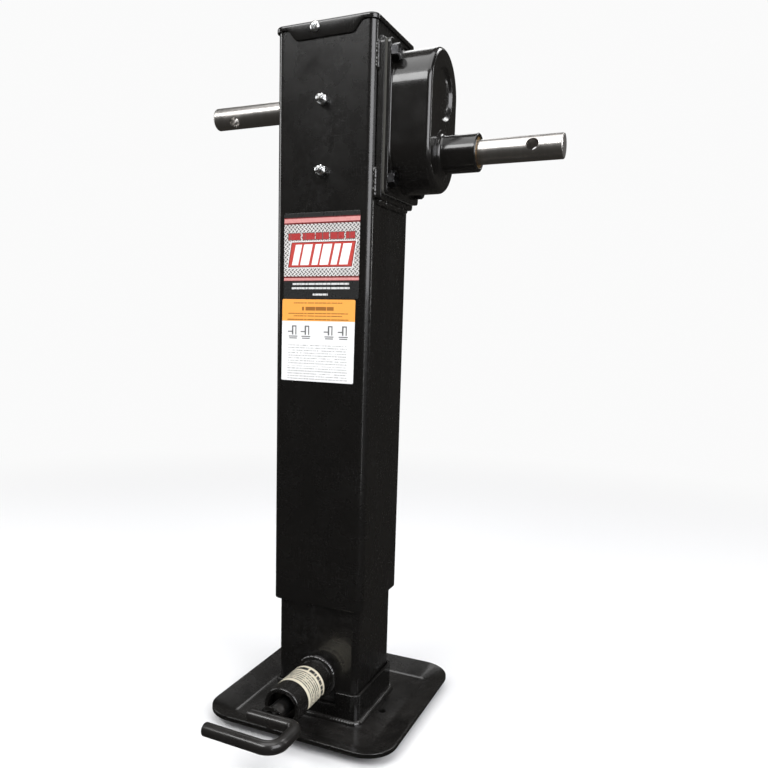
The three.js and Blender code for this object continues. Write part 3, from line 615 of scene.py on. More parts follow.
def cover():
    face_x, floor_x = 100.0, 94.0
    inside = [slot_ring(r, x) for r, x in
              eased([(20, 97.2), (CAVITY_R, 97.2), (CAVITY_R, 59.3)], [0, 3.2, 0], closed=False)]
    edge = eased([(1.5, 59.3), (0, 59.3), (0, 62.3), (1.2, 62.3)], [0, 0.4, 0.8, 0], closed=False, steps=4)
    flange = [upright(flange_outline(inset), x) for inset, x in edge]
    wall = eased([(LOBE_R + 2.9, 62.3), (LOBE_R, 62.3), (LOBE_R, face_x), (30, face_x)],
                 [0, 2.6, 6, 0], closed=False, steps=9)
    outside = [slot_ring(r, x) for r, x in supported(wall, closed=False)]
    rim = dish_ring(25.6, face_x)
    melt = [outside[-1] + (rim - outside[-1]) * share for share in (0.25, 0.5, 0.75)]
    profile = eased([(26.0, face_x), (23.5, face_x), (17.5, floor_x), (0.4, floor_x)], [0, 1.3, 5, 0],
                    closed=False, steps=8)
    dish = [dish_ring(r, x) for r, x in profile]
    return skin(np.array(inside + flange + outside + melt + dish))


gear_cover = piece("gearbox_cover_body", [cover()], "housing", "black_paint", "gearbox_cover", sharp=38)
drill(gear_cover, [rod(16.2, 80, 110, "X", (0, 0, INPUT_Z))] + bolt_holes, sharp=38)
print("cover has", len(gear_cover.data.polygons), "faces")

# %% [markdown]
# Turned parts come next: hubs, bushings, shafts, the plunger's tube and pin. Each is a list of radius and
# distance rows. Bolt heads and grease nipples are turned too, and their hexagons are the turned shape
# limited by six flats, which gives the curved chamfer that a real bolt head has.

# %% Hubs, bushings and bolts
SHAFT_R, BUSH_IN, BUSH_OUT, HUB_IN, HUB_R = 11.0, 11.15, 14.0, 14.15, 17.0


def sleeve(inner, outer, start, end, edge, axis="X", centre=(0, 0, 0), facets=96):
    profile = eased([(inner, start), (outer, start), (outer, end), (inner, end)], edge, steps=5)
    return turned(supported(profile), axis, centre, facets, closed=True)


def input_boss():
    """The hub's foot flares out on the cover's face, as cast metal does, and its end is chamfered."""
    profile = eased([(HUB_IN, 92), (15.9, 92), (15.9, 99.6), (22.5, 99.6), (22.5, 100.1), (HUB_R, 101.5),
                     (HUB_R, 135), (HUB_IN, 135)], [0.3, 0.3, 0.2, 0.2, 0.3, 4.2, 1.6, 0.5], steps=7)
    return turned(supported(profile), "X", (0, 0, INPUT_Z), 96, closed=True)


piece("input_hub_body", [input_boss()], "housing", "black_paint", "input_hub")
piece("left_hub_body", [sleeve(HUB_IN, HUB_R, -60, -50.3, [0.5, 1.6, 0.3, 0.3], centre=(0, 0, CROSS_Z))],
      "housing", "black_paint", "left_hub")
BUSHINGS = {
    "left_bushing": (-60, -45.8, CROSS_Z), "cross_shaft_bushing": (45.8, 61, CROSS_Z),
    "cross_shaft_end_bushing": (84, 91, CROSS_Z), "input_bushing": (93, 134, INPUT_Z),
    "pilot_bushing": (50.8, 61, INPUT_Z),
}
for name, (start, end, height) in BUSHINGS.items():
    piece(name + "_ring", [sleeve(BUSH_IN, BUSH_OUT, start, end, 0.5, centre=(0, 0, height))],
          "housing", "bronze", name)


def cover_bolt(y, z):
    """A hexagon head with a washer face under it and a chamfer over it, and a plain shank."""
    rows = [(4, 51, 0), (4, 62.5, 0), (6.3, 62.6, 0), (6.3, 63.0, 0), (8.4, 63.05, 1), (8.4, 68.0, 1),
            (7.6, 68.5, 1), (6.6, 68.95, 1), (6.2, 69.1, 0), (2.5, 69.1, 0), (2.0, 68.95, 0)]
    return turned(rows, "X", (0, y, z), 72, across=13.0)


for i, (y, z) in enumerate(BOLTS):
    piece(f"cover_bolt_head_{i + 1}", [cover_bolt(y, z)], "housing", "dark_steel", f"cover_bolt_{i + 1}")


def nipple(z):
    """A hexagon, a waist and the ball-shaped tip, with the small check ball in its mouth."""
    tip = eased([(2.6, 55.2), (2.2, 57.2), (3.35, 59.2), (3.1, 60.8), (1.5, 61.6), (0.9, 61.6), (0.75, 61.2)],
                [0, 0.8, 1.2, 0.9, 0.3, 0.1, 0], closed=False, steps=6)
    rows = [(3.4, 44, 0), (3.4, 50.2, 0), (4.6, 50.25, 0), (6, 50.6, 1), (6, 53.8, 1), (5.2, 54.35, 1),
            (4.5, 54.6, 0), (3.2, 54.6, 0)] + [(r, h, 0) for r, h in tip]
    ball_rows = [(0.75 * math.cos(a), 61.1 + 0.75 * math.sin(a)) for a in np.linspace(-0.2, 1.5, 7)]
    return [turned(rows, "FRONT", (0, 0, z), 72, across=9.0), turned(ball_rows, "FRONT", (0, 0, z), 36)]


for name, z in NIPPLES.items():
    piece(f"nipple_{name}", nipple(z), "housing", "zinc_plate", f"grease_nipple_{name}")
print("hubs, bushings, bolts and nipples:", len(pieces_made), "pieces so far")

# %% [markdown]
# Both crank shafts are plain turned bar with a chamfer at each end and one hole across for the crank's pin.
# A drilled hole breaks through in a saddle-shaped rim, so a cutter does it better than any profile could.

# %% Crank shafts
def shaft(left, right, height):
    profile = eased([(2, left), (SHAFT_R, left), (SHAFT_R, right), (2, right)], [0, 1.1, 1.1, 0],
                    closed=False, steps=4)
    profile = supported(profile, closed=False, reach=0.5)
    long = np.linspace(left + 3, right - 3, int((right - left) / 4))
    rows = np.vstack([profile[profile[:, 1] < left + 2.5], np.column_stack([np.full(len(long), SHAFT_R), long]),
                      profile[profile[:, 1] > right - 2.5]])
    return turned(rows, "X", (0, 0, height), 96)


def crank_hole(x, z, tilt):
    """A cutter across the shaft, tilted up from the front, that opens a little at both mouths."""
    points, faces = turned([(6.3, -12.2), (5.25, -10.6), (5.25, 10.6), (6.3, 12.2)], "FRONT", facets=48)
    turn = np.array(Matrix.Rotation(-math.radians(tilt), 3, "X"))
    return points @ turn.T + (x, 0, z), faces


for name, body, left, right, z, hole_x, tilt in (
    ("input_shaft", "low_speed_shaft", 50.8, 210, INPUT_Z, 184, 10.5),
    ("cross_shaft", "high_speed_shaft", -148, 91.2, CROSS_Z, -123, -37),
):
    made = piece(name + "_bar", [shaft(left, right, z)], body, "machined_steel", name)
    drill(made, [crank_hole(hole_x, z, tilt)])
print("shafts drilled")

# %% [markdown]
# The foot is pressed from one plate. Its flat middle stands on the ground and its edge turns up in a sloping
# band, so the same profile-round-a-rectangle helper makes it, with the corner radius growing along the slope.
# A square collar is welded round the drop leg, and it is notched in front to let the plunger's tube sit low.

# %% Foot and collar
FOOT_W, FOOT_H, FOOT_CORNER = 78.0, 84.5, 8.0
COLLAR_HALF, COLLAR_CORNER, NOTCH_DEPTH = 48.5, 8, 14
DRAINS = [(60.0, -8.0), (-60.0, 8.0)]


def foot():
    profile = eased([(-24, 0), (0, 0), (24, 9.5), (24, 14), (22.4, 14), (-1.6, 4.5), (-24, 4.5)],
                    [0, 14, 1.0, 0.7, 0.7, 12, 0], closed=False, steps=8)
    return framed(FOOT_W, FOOT_H, FOOT_CORNER, supported(profile, closed=False, reach=1.2),
                  closed=False, arc=13)


foot_body = piece("foot_plate_body", [foot()], "leg", "black_paint", "foot_plate")
drill(foot_body, [rod(4, -2, 8, "Z", (x, y, 0)) for x, y in DRAINS])


def collar():
    """The wall's upper rows follow z(x): 35 all round, and 21 across the notch in front."""
    side = np.unique(np.concatenate([SIDE, np.linspace(0.2, 0.3, 14), np.linspace(0.7, 0.8, 14)]))
    rows = supported(eased([(0, 4.8), (0, 35), (-3, 35), (-3, 4.8)], 0.6, steps=5))
    rings = []
    for offset, z in rows:
        half = COLLAR_HALF + offset
        flat = rounded(half, half, COLLAR_CORNER + offset, 9, side)
        in_front = flat[:, 1] < -half + 0.01
        notch = in_front * (1 - smooth_step(np.abs(flat[:, 0]), 23.2, 24.4))
        rings.append(lifted(flat, z - NOTCH_DEPTH * notch * (z > 30)))
    return skin(np.array(rings), closed=True)


piece("foot_collar_body", [collar()], "leg", "black_paint", "foot_collar", sharp=40)
print("foot box", [round(c, 3) for c in foot_body.dimensions])

# %% [markdown]
# The plunger locks the drop leg in the ram. A pin runs through a short tube, a spring behind a washer pushes
# it home, and a bent bar across its end is the handle. The spring runs from the washer to its seat; it rides
# on no body, and its place is baked into its mesh.

# %% Plunger tube, pin and spring
WASHER_BACK, WASHER_FACE, SEAT_FACE = 77.5, 79.5, 106.0
PLUNGER_TUBE_R, WIRE_GAP = 19, 1.4
at_pin = (0, 0, PIN_Z)
at_roll_pin = (0, 2.3 - WASHER_BACK, PIN_Z)
piece("plunger_tube_body", [sleeve(14.5, PLUNGER_TUBE_R, 45.3, 120, [0.3, 0.3, 1.5, 1.2], "FRONT", at_pin)],
      "ram", "black_paint", "plunger_housing")
piece("spring_seat_ring", [sleeve(8.2, 14.3, SEAT_FACE, 110, 0.5, "FRONT", at_pin, 72)], "ram", "dark_steel",
      "spring_seat")
pin_rows = eased([(2, 41), (6.4, 41), (8, 43.2), (8, 138.3), (2, 138.3)], [0, 0.6, 1.0, 0.6, 0], closed=False,
                 steps=5)
pin = piece("plunger_pin_bar", [turned(supported(pin_rows, closed=False), "FRONT", at_pin, 72)],
            "plunger", "dark_steel", "plunger_pin")
drill(pin, [rod(2.3, -20, 20, "Z", at_roll_pin, 24)])
roll_pin = eased([(0.9, -12.5), (2, -12.5), (2, 12.5), (0.9, 12.5)], 0.4, steps=4)
piece("plunger_roll_pin", [turned(roll_pin, "Z", at_roll_pin, 36, closed=True)], "plunger",
      "dark_steel", "plunger_cross_pin")
piece("spring_washer_ring", [sleeve(8.2, 13.8, WASHER_BACK, WASHER_FACE, 0.3, "FRONT", at_pin, 72)], "plunger_washer",
      "zinc_plate", "spring_washer")


def coil(radius, wire, turns, start, end, flat_turns=0.8):
    """A helix whose pitch is nothing in its closed end turns: the height is the running total of a speed that
    rises smoothly from a wire's width a turn to the open pitch and falls again."""
    t = np.linspace(0, turns, int(turns * 40) + 1)
    speed = smooth_step(t, 0, flat_turns) * (1 - smooth_step(t, turns - flat_turns, turns)) + 0.25
    along = start + (end - start) * np.concatenate([[0], np.cumsum(speed[1:])]) / speed[1:].sum()
    out = polar(1, t * TURN, 0)
    path = polar(radius, t * TURN, along)
    ahead = unit(np.gradient(path, axis=0))
    points, faces = carried(path, out, np.cross(ahead, out), circle(wire, 14))
    return placed(points, "FRONT", at_pin), faces


spring = piece("plunger_coil", [coil(11, 1.1, 5.5, WASHER_FACE + WIRE_GAP, SEAT_FACE - WIRE_GAP)], None,
               "dark_steel", "plunger_spring")
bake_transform(spring)
print("plunger parts ride on the ram, the washer and the plunger")

# %% [markdown]
# The handle is one round bar with two bends. A circle is carried along a polyline with eased corners, and it
# stays round through the bends. It shrinks close to both ends, as on a sawn and tumbled bar.

# %% Handle
HANDLE_R = 6.35
HANDLE_PATH = [(-21.0, -145.0), (31.0, -145.0), (31.0, -187.5), (-43.0, -185.0)]


def bent_bar(corners, radii, radius, z, spacing=7.5):
    """The bar's axis is a polyline with eased corners. Rows near each end have a radius that follows a
    quarter circle of 1.6, and rows along the bends lie wherever the arcs have points."""
    line = eased(corners, radii, closed=False, steps=14)
    path = lifted(line, z)
    travel = travelled(path)
    ease = 1.6
    ends = np.array([0, 0.25, 0.7, 1.2, 1.6])
    stops = np.unique(np.concatenate([ends, travel[1:-1], np.arange(4, travel[-1] - 3, spacing),
                                      travel[-1] - ends]).round(4))
    path = resampled(path, travel, stops)
    depth = np.minimum(np.minimum(stops, travel[-1] - stops), ease)
    size = (radius - ease + np.sqrt(np.maximum(ease ** 2 - (ease - depth) ** 2, 0))) / radius
    ahead = unit(np.gradient(path, stops, axis=0))
    up = np.tile([0.0, 0.0, 1.0], (len(path), 1))
    return carried(path, np.cross(ahead, up), up, circle(radius, 40) * size[:, None, None])


piece("plunger_handle_bar", [bent_bar(HANDLE_PATH, [0, 9, 14, 0], HANDLE_R, PIN_Z)], "plunger", "black_paint",
      "plunger_handle")
print("handle has", len(pieces_made["plunger_handle_bar"].data.polygons), "faces")

# %% [markdown]
# The lead screw is hidden inside the ram, but it is what lifts the trailer, so it has its real thread. The
# radius at an angle and a height is a trapezoid wave of height over lead minus the share of a turn, which is
# a right-hand screw. A curve with a screw modifier would give the same crest but not the plain journals.

# %% Lead screw
LEAD, SCREW_R, THREAD_DEPTH = 6.35, 14.0, 2.4


def lead_screw(facets=40):
    threaded = np.arange(180, 540, LEAD / 12)
    depth_in = smooth_step(threaded, 180, 184) * (1 - smooth_step(threaded, 534, 539))
    below = np.array([(8.4, 170), (9, 170.6), (9, 178), (12.6, 178), (SCREW_R, 179.4)])
    above = np.array([(SCREW_R, 545.9), (21, 546), (21.5, 546.5), (21.5, 551.5), (21, 552), (10, 552), (10, 575),
                      (9, 575.2), (9, 602), (8.2, 602.8)])
    radius = np.concatenate([below[:, 0], np.full(len(threaded), SCREW_R), above[:, 0]])
    along = np.concatenate([below[:, 1], threaded, above[:, 1]])
    depth = np.concatenate([np.zeros(len(below)), depth_in * THREAD_DEPTH, np.zeros(len(above))])
    angle = angles(facets)
    phase = (along[:, None] / LEAD - angle / TURN) % 1
    groove = np.clip((np.abs(phase - 0.5) - 0.18) / 0.14, 0, 1)
    r = radius[:, None] - depth[:, None] * groove
    return skin(polar(r, angle, along[:, None]))


piece("lead_screw_bar", [lead_screw()], "screw", "machined_steel", "lead_screw", sharp=50)
print("thread of lead", LEAD, "with", len(pieces_made["lead_screw_bar"].data.polygons), "faces")

# %% [markdown]
# Weld metal fills the corner between two faces. A welder leaves it in overlapping puddles, each a little arc.
# The bead is a quarter-round section carried along the corner, and its size rises and falls with the distance
# along it. That wave is shifted towards the middle of the section, so that each ripple bows forward.

# %% Weld beads
def evenly(line, spacing=0.6, closed=True):
    """Points at equal distances along a polyline."""
    loop = np.vstack([line, line[:1]]) if closed else line
    travel = travelled(loop)
    count = max(int(travel[-1] / spacing), 8)
    stops = np.linspace(0, travel[-1], count, endpoint=not closed)
    return resampled(loop, travel, stops), travel[-1]


def weld(line, first, second, size, closed=True, seed=1, pitch=3.1):
    """A rippled bead. first and second point from the corner along its two faces, as one vector or as a
    function of the path. The size is multiplied by slow waves that fit the path a whole number of times."""
    path, length = evenly(np.asarray(line, float), closed=closed)
    first, second = (np.broadcast_to(d(path) if callable(d) else d, path.shape) for d in (first, second))
    share = np.arange(len(path)) / (len(path) if closed else len(path) - 1)
    ripples = max(round(length / pitch), 1)
    swing = np.linspace(0, math.pi / 2, 9)
    phase = share[:, None] * ripples + 0.5 * np.sin(2 * swing)
    scallop = 1 - (2 * (phase % 1) - 1) ** 2
    slow = sum(np.sin(TURN * k * share + seed * k) for k in (2, 5, 9)) / 3
    reach = size * (1 + 0.09 * slow[:, None]) * (1 + 0.08 * np.sin(2 * swing)) + 0.34 * (scallop - 0.5)
    if not closed:
        to_end = np.minimum(share, 1 - share) * length
        reach = reach * np.sqrt(1 - (1 - np.clip(to_end / 3, 0.01, 1)) ** 2)[:, None]
    section = np.stack([reach * np.cos(swing), reach * np.sin(swing)], axis=-1)
    behind = np.full((len(path), 1, 2), -0.35)
    return carried(path, first, second, np.concatenate([section, behind], axis=1), closed)


def ring_path(radius, axis, centre, count=120):
    return placed(polar(radius, angles(count), 0), axis, centre)


def away_from(centre):
    return lambda path: unit(path - np.array(centre, float))


def outward(path):
    """The outward normal of a level, counterclockwise path: its direction turned a quarter turn to the right."""
    ahead = np.roll(path, -1, axis=0) - np.roll(path, 1, axis=0)
    return unit(np.column_stack([ahead[:, 1], -ahead[:, 0], np.zeros(len(path))]))


def weld_piece(name, beads, body):
    return piece(name, beads, body, "black_paint", sharp=60)


TUBE_SIDE = 50.0
up, right, front = np.array([0, 0, 1.0]), np.array([1.0, 0, 0]), np.array([0, -1.0, 0])
plate_welds = [weld([(TUBE_SIDE, -38, z), (TUBE_SIDE, 38, z)], way, right, 4.2, False, seed)
               for z, way, seed in ((PLATE_TOP, up, 3), (PLATE_BOTTOM, -up, 5))]
for way in (-1, 1):
    for low, high in ((524, 552), (634, 661)):
        edge = [(49.4, 42.8 * way, low), (49.4, 42.8 * way, high)]
        plate_welds.append(weld(edge, -front * way, right, 2.7, False, low))
weld_piece("gearbox_welds", plate_welds, "housing")
left_centre = (-TUBE_SIDE, 0, CROSS_Z)
weld_piece("left_hub_weld", [weld(ring_path(HUB_R, "X", left_centre), away_from(left_centre), -right, 3.2)],
           "housing")
ram_face = (0, -45, PIN_Z)
weld_piece("plunger_weld", [weld(ring_path(PLUNGER_TUBE_R, "FRONT", ram_face), away_from(ram_face), front, 3.5,
                                 seed=2)], "ram")
foot_line = lifted(rounded(COLLAR_HALF, COLLAR_HALF, COLLAR_CORNER), 4.45)
weld_piece("collar_weld", [weld(foot_line, outward, up, 4.0, seed=4)], "leg")


BEAD_R = 7.6


def handle_weld():
    """A lumpy ring where the pin's end meets the round bar: the path's distance along the pin follows the
    bar's own round back."""
    x, z = polar(BEAD_R, angles(90), 0)[:, :2].T
    y = HANDLE_PATH[0][1] + np.sqrt(np.maximum(HANDLE_R ** 2 - np.minimum(np.abs(z), 5.6) ** 2, 0))
    line = np.column_stack([x, y, PIN_Z + z])
    return weld(line, lambda path: unit((path - at_pin) * (1, 0, 1)), -front, 3.4, seed=6, pitch=4)


weld_piece("handle_weld_bead", [handle_weld()], "plunger")
print("welds:", sum(len(o.data.polygons) for n, o in pieces_made.items() if "weld" in n), "faces")

# %% [markdown]
# Three printed films are stuck on: two on the front of the tube and one round the plunger's tube. Each is a
# very thin plate with a rounded edge, so that it catches a line of light. The band is the same section
# carried along an arc. Their print comes later, as colour only.

# %% Label films
def film(width, height, centre, tilt=0.0):
    profile = eased([(-6, 50.12), (0, 50.12), (0, 50.55), (-6, 50.55)], [0, 0.1, 0.16, 0], closed=False, steps=4)
    points, faces = framed(width / 2, height / 2, 1.5, supported(profile, closed=False), "FRONT", closed=False)
    turn = np.array(Matrix.Rotation(math.radians(tilt), 3, "Y"))
    return points @ turn.T + centre, faces


UPPER_LABEL, LOWER_LABEL = (0.0, 472.8), (-2.5, 392.5)
piece("upper_label_film", [film(79.5, 80.4, (UPPER_LABEL[0], 0, UPPER_LABEL[1]))], "housing", "label_red",
      "upper_label")
piece("lower_label_film", [film(78, 79, (LOWER_LABEL[0], 0, LOWER_LABEL[1]), 0.4)], "housing", "label_film",
      "lower_label")


def band(radius, start, end, low, high):
    angle = np.radians(np.linspace(start, end, 60))
    out = np.column_stack([np.cos(angle), np.zeros(60), np.sin(angle)])
    along = np.tile(front, (60, 1))
    section = supported(eased([(-0.12, low), (0.18, low), (0.18, high), (-0.12, high)], 0.08, steps=3))
    return carried(radius * out + (0, 0, PIN_Z), out, along, section)


piece("plunger_label_film", [band(19.25, -20, 140, 66, 100)], "ram", "label_film", "plunger_label", sharp=50)
print(len(pieces_made), "pieces made")

# %% [markdown]
# Now the finishes. Effects that several of them share are node groups: dust that settles on what faces up,
# lighter edges that are partly rubbed and partly a painted edge highlight, the skin of powder coat, fine
# scratches, and the marks of a lathe. A group gives out only masks and heights, and each material weighs them
# with its own numbers.

# %% Shared effects
def group(name, inputs, outputs):
    """An empty node group with named sockets, and its input and output sockets."""
    made = bpy.data.node_groups.new(name, "ShaderNodeTree")
    for label, kind, value in inputs:
        socket = made.interface.new_socket(label, in_out="INPUT", socket_type="NodeSocket" + kind)
        if value is not None:
            socket.default_value = value
    for label in outputs:
        made.interface.new_socket(label, in_out="OUTPUT", socket_type="NodeSocketFloat")
    return made, made.nodes.new("NodeGroupInput").outputs, made.nodes.new("NodeGroupOutput").inputs


def tree_of(values):
    """The node tree of the first socket among these values."""
    return next(value.id_data for value in values if isinstance(value, bpy.types.NodeSocket))


def calc(operation, *values):
    """One step of arithmetic on up to three values, of which one at least is a socket."""
    values += (0.0,) * (3 - len(values))
    return node(tree_of(values), "Math", dict(enumerate(values)), operation=operation).outputs[0]


def times(first, second):
    return calc("MULTIPLY", first, second)


def minus(first, second):
    return calc("SUBTRACT", first, second)


def scaled(value, by, plus):
    """value times by, plus plus."""
    return calc("MULTIPLY_ADD", value, by, plus)


def axes_of(vector):
    return node(vector.id_data, "SeparateXYZ", {0: vector}).outputs


def use(shared, **inputs):
    """Places a group. An underscore in an input's name stands for a space."""
    tree = tree_of(inputs.values())
    made = tree.nodes.new("ShaderNodeGroup")
    made.node_tree = shared
    for key, value in inputs.items():
        socket = made.inputs[key.replace("_", " ")]
        if isinstance(value, bpy.types.NodeSocket):
            tree.links.new(value, socket)
        else:
            socket.default_value = value
    return made.outputs


def noise(where, scale, detail=2.0, rough=0.5):
    inputs = {"Vector": where, "Scale": scale, "Detail": detail, "Roughness": rough}
    return node(where.id_data, "TexNoise", inputs).outputs["Fac"]


def ramp(value, low, high, to_low=0.0, to_high=1.0, smooth=False):
    """value from low to high becomes to_low to to_high, and stays there beyond."""
    inputs = {"Value": value, "From Min": low, "From Max": high, "To Min": to_low, "To Max": to_high}
    kind = "SMOOTHSTEP" if smooth else "LINEAR"
    return node(value.id_data, "MapRange", inputs, interpolation_type=kind, clamp=True).outputs["Result"]


def stretched(where, scale):
    return node(where.id_data, "Mapping", {"Vector": where, "Scale": scale}).outputs[0]


VECTOR = ("Vector", "Vector", None)


def dust_group():
    tree, given, out = group("settled_dust", [VECTOR, ("Amount", "Float", 0.3)], ["Mask"])
    facing = axes_of(node(tree, "NewGeometry").outputs["Normal"])["Z"]
    lying = ramp(facing, 0.25, 1.0, smooth=True)
    cloud = ramp(noise(given["Vector"], 38, 5, 0.65), 0.35, 0.75)
    grains = ramp(noise(given["Vector"], 2600, 1), 0.55, 0.72)
    soft = times(lying, calc("ADD", times(cloud, 0.75), grains))
    tree.links.new(times(soft, given["Amount"]), out["Mask"])
    return tree


def rub_and_highlight_group():
    tree, given, out = group("edge_rub", [VECTOR, ("Amount", "Float", 0.3)], ["Mask"])
    # Pointy edges broken by noise: rubbed edges, and in part a painted edge highlight.
    edge = ramp(node(tree, "NewGeometry").outputs["Pointiness"], 0.52, 0.62)
    broken = ramp(noise(given["Vector"], 160, 4, 0.6), 0.45, 0.62)
    tree.links.new(times(times(edge, broken), given["Amount"]), out["Mask"])
    return tree


def peel_group():
    tree, given, out = group("powder_skin", [VECTOR, ("Cells", "Float", 380.0)], ["Height"])
    small = noise(given["Vector"], given["Cells"], 1.5, 0.45)
    wide = noise(given["Vector"], times(given["Cells"], 0.3), 1.0)
    tree.links.new(scaled(wide, 0.6, times(small, 0.4)), out["Height"])
    return tree


def scratch_group():
    tree, given, out = group("fine_scratches", [VECTOR, ("Scale", "Float", 60.0), ("Width", "Float", 0.006)],
                             ["Mask"])
    lines = []
    for turn, squeeze in ((0.3, (9, 1, 0.6)), (1.9, (0.7, 1, 8))):
        leaning = node(tree, "Mapping", {"Vector": given["Vector"], "Rotation": (turn, turn, turn / 2),
                                         "Scale": squeeze}).outputs[0]
        grain = noise(leaning, given["Scale"], 1.0)
        off = calc("ABSOLUTE", minus(grain, 0.52))
        lines.append(calc("LESS_THAN", off, given["Width"]))
    patch = ramp(noise(given["Vector"], 21, 2), 0.5, 0.62)
    both = times(calc("MAXIMUM", *lines), patch)
    tree.links.new(both, out["Mask"])
    return tree


def lathe_group():
    tree, given, out = group("lathe_marks", [VECTOR, ("Fineness", "Float", 1.0)], ["Height", "Tone"])
    fine = noise(given["Vector"], given["Fineness"], 3, 0.7)
    slow = noise(given["Vector"], times(given["Fineness"], 0.12), 2)
    tree.links.new(fine, out["Height"])
    tree.links.new(scaled(fine, 0.45, times(slow, 0.55)), out["Tone"])
    return tree


DUST, RUB_AND_HIGHLIGHT, PEEL, SCRATCH, LATHE = dust_group(), rub_and_highlight_group(), peel_group(), scratch_group(), lathe_group()
print("shared effects:", [g.name for g in bpy.data.node_groups])

# %% [markdown]
# The powder coat is a glossy black plastic baked on steel. Up close it has a faint orange skin and a mottled
# sheen, edges that are lighter where it is thin and rubbed and, in part, as a painted edge highlight, a few
# hairline scratches, and dust on what faces up. A thin clear coat over a slightly duller base gives both the
# narrow highlights and the soft glow round them.

# %% Powder coat
def material(name):
    """A new material, its shader and its Object coordinates."""
    made = bpy.data.materials.new(name)
    made.use_nodes = True
    tree = made.node_tree
    shader = tree.nodes["Principled BSDF"]
    return made, shader, node(tree, "TexCoord").outputs["Object"]


def feed(shader, colour, rough, metal, height, depth, strength):
    """Links a finish's colour, roughness and bump to its shader."""
    tree = shader.id_data
    bump = node(tree, "Bump", {"Strength": strength, "Distance": depth, "Height": height}).outputs[0]
    for key, value in (("Base Color", colour), ("Roughness", rough), ("Normal", bump)):
        tree.links.new(value, shader.inputs[key])
    shader.inputs["Metallic"].default_value = metal


def grey(level, warm=0.0):
    return (level * (1 + warm), level, level * (1 - warm), 1)


def powder_coat(name, tone=0.0040, gloss=0.22, cells=330, skin_depth=0.00008, dust=0.07, rub_and_highlight=0.2, coat=0.45):
    made, shader, where = material(name)
    mottle = noise(where, 11, 4, 0.6)
    cloud = noise(where, 46, 3, 0.6)
    # Lighter edges: rubbed paint, and in part a painted edge highlight.
    rubbed_and_highlit = use(RUB_AND_HIGHLIGHT, Vector=where, Amount=rub_and_highlight)["Mask"]
    dusty = use(DUST, Vector=where, Amount=dust)["Mask"]
    hairs = use(SCRATCH, Vector=where, Scale=70.0, Width=0.0045)["Mask"]
    colour = mix(mottle, grey(tone * 0.75, 0.04), grey(tone * 1.3, 0.12))
    colour = mix(rubbed_and_highlit, colour, grey(0.06))
    colour = mix(times(hairs, 0.1), colour, grey(0.08))
    colour = mix(dusty, colour, grey(0.3, 0.06))
    rough = scaled(cloud, 0.16, gloss - 0.08)
    rough = scaled(mottle, 0.1, rough)
    rough = scaled(calc("MAXIMUM", dusty, times(hairs, 0.3)), 0.35, rough)
    height = use(PEEL, Vector=where, Cells=float(cells))["Height"]
    height = minus(height, times(hairs, 0.08))
    feed(shader, colour, rough, 0.0, height, skin_depth, 0.5)
    shader.inputs["Coat Weight"].default_value = coat
    shader.inputs["Coat Roughness"].default_value = 0.07
    return made


finishes = {
    "tube_paint": powder_coat("tube_powder_coat"),
    "cover_paint": powder_coat("cover_powder_coat", tone=0.0045, gloss=0.18, coat=0.6, dust=0.08),
    "foot_paint": powder_coat("foot_powder_coat", tone=0.0035, gloss=0.2, rub_and_highlight=0.3),
    "weld_paint": powder_coat("weld_powder_coat", tone=0.006, gloss=0.15, cells=520, coat=0.8, rub_and_highlight=0.3),
    "handle_paint": powder_coat("handle_powder_coat", tone=0.0085, gloss=0.24, rub_and_highlight=0.4, dust=0.06, coat=0.35),
}
print("paints:", list(finishes))

# %% [markdown]
# The bare metals differ by how they were made. The crank shafts are turned, so fine rings run round them and
# a few faint stains sit on top. Zinc plating is bright with a breath of colour. Gears and pins are dark with
# oil, bushings are pressed from bronze powder and keep its pores, and the gasket is fibrous paper.

# %% Metals and gasket
def turned_steel(name, stretch, tone=0.66):
    """stretch makes the noise change fast along the bar and slowly round it."""
    made, shader, where = material(name)
    marks = use(LATHE, Vector=stretched(where, stretch), Fineness=1.0)
    stain = ramp(noise(where, 55, 5, 0.65), 0.52, 0.75)
    freckle = ramp(noise(where, 620, 3, 0.6), 0.66, 0.74)
    hairs = use(SCRATCH, Vector=where, Scale=130.0, Width=0.008)["Mask"]
    colour = mix(marks["Tone"], grey(tone * 0.86, 0.04), grey(tone * 1.16, 0.03))
    colour = mix(times(stain, 0.16), colour, (0.36, 0.31, 0.25, 1))
    colour = mix(times(freckle, 0.3), colour, (0.20, 0.13, 0.08, 1))
    rough = scaled(marks["Tone"], 0.14, 0.24)
    rough = scaled(calc("ADD", stain, hairs), 0.1, rough)
    height = minus(marks["Height"], times(hairs, 0.6))
    feed(shader, colour, rough, 1.0, height, 0.00002, 0.25)
    return made


def plain_metal(name, dark, light, rough, spread, grain, depth, tint=None):
    """A metal of two tones in cloudy patches, with fine grain and, if given, a tint in places."""
    made, shader, where = material(name)
    cloud = noise(where, 90, 4, 0.6)
    fine = noise(where, grain, 2, 0.6)
    hairs = use(SCRATCH, Vector=where, Scale=160.0, Width=0.01)["Mask"]
    colour = mix(cloud, dark, light)
    if tint:
        patch = ramp(noise(where, 240, 3), 0.5, 0.7)
        colour = mix(times(patch, 0.35), colour, tint)
    # Lighter edges: rubbed metal, and in part a painted edge highlight.
    rub_and_highlight = use(RUB_AND_HIGHLIGHT, Vector=where, Amount=0.6)["Mask"]
    colour = mix(rub_and_highlight, colour, tuple(min(c * 1.5 + 0.05, 1) for c in light[:3]) + (1,))
    level = scaled(cloud, spread, rough)
    level = scaled(hairs, 0.1, level)
    feed(shader, colour, level, 1.0, fine, depth, 0.4)
    return made


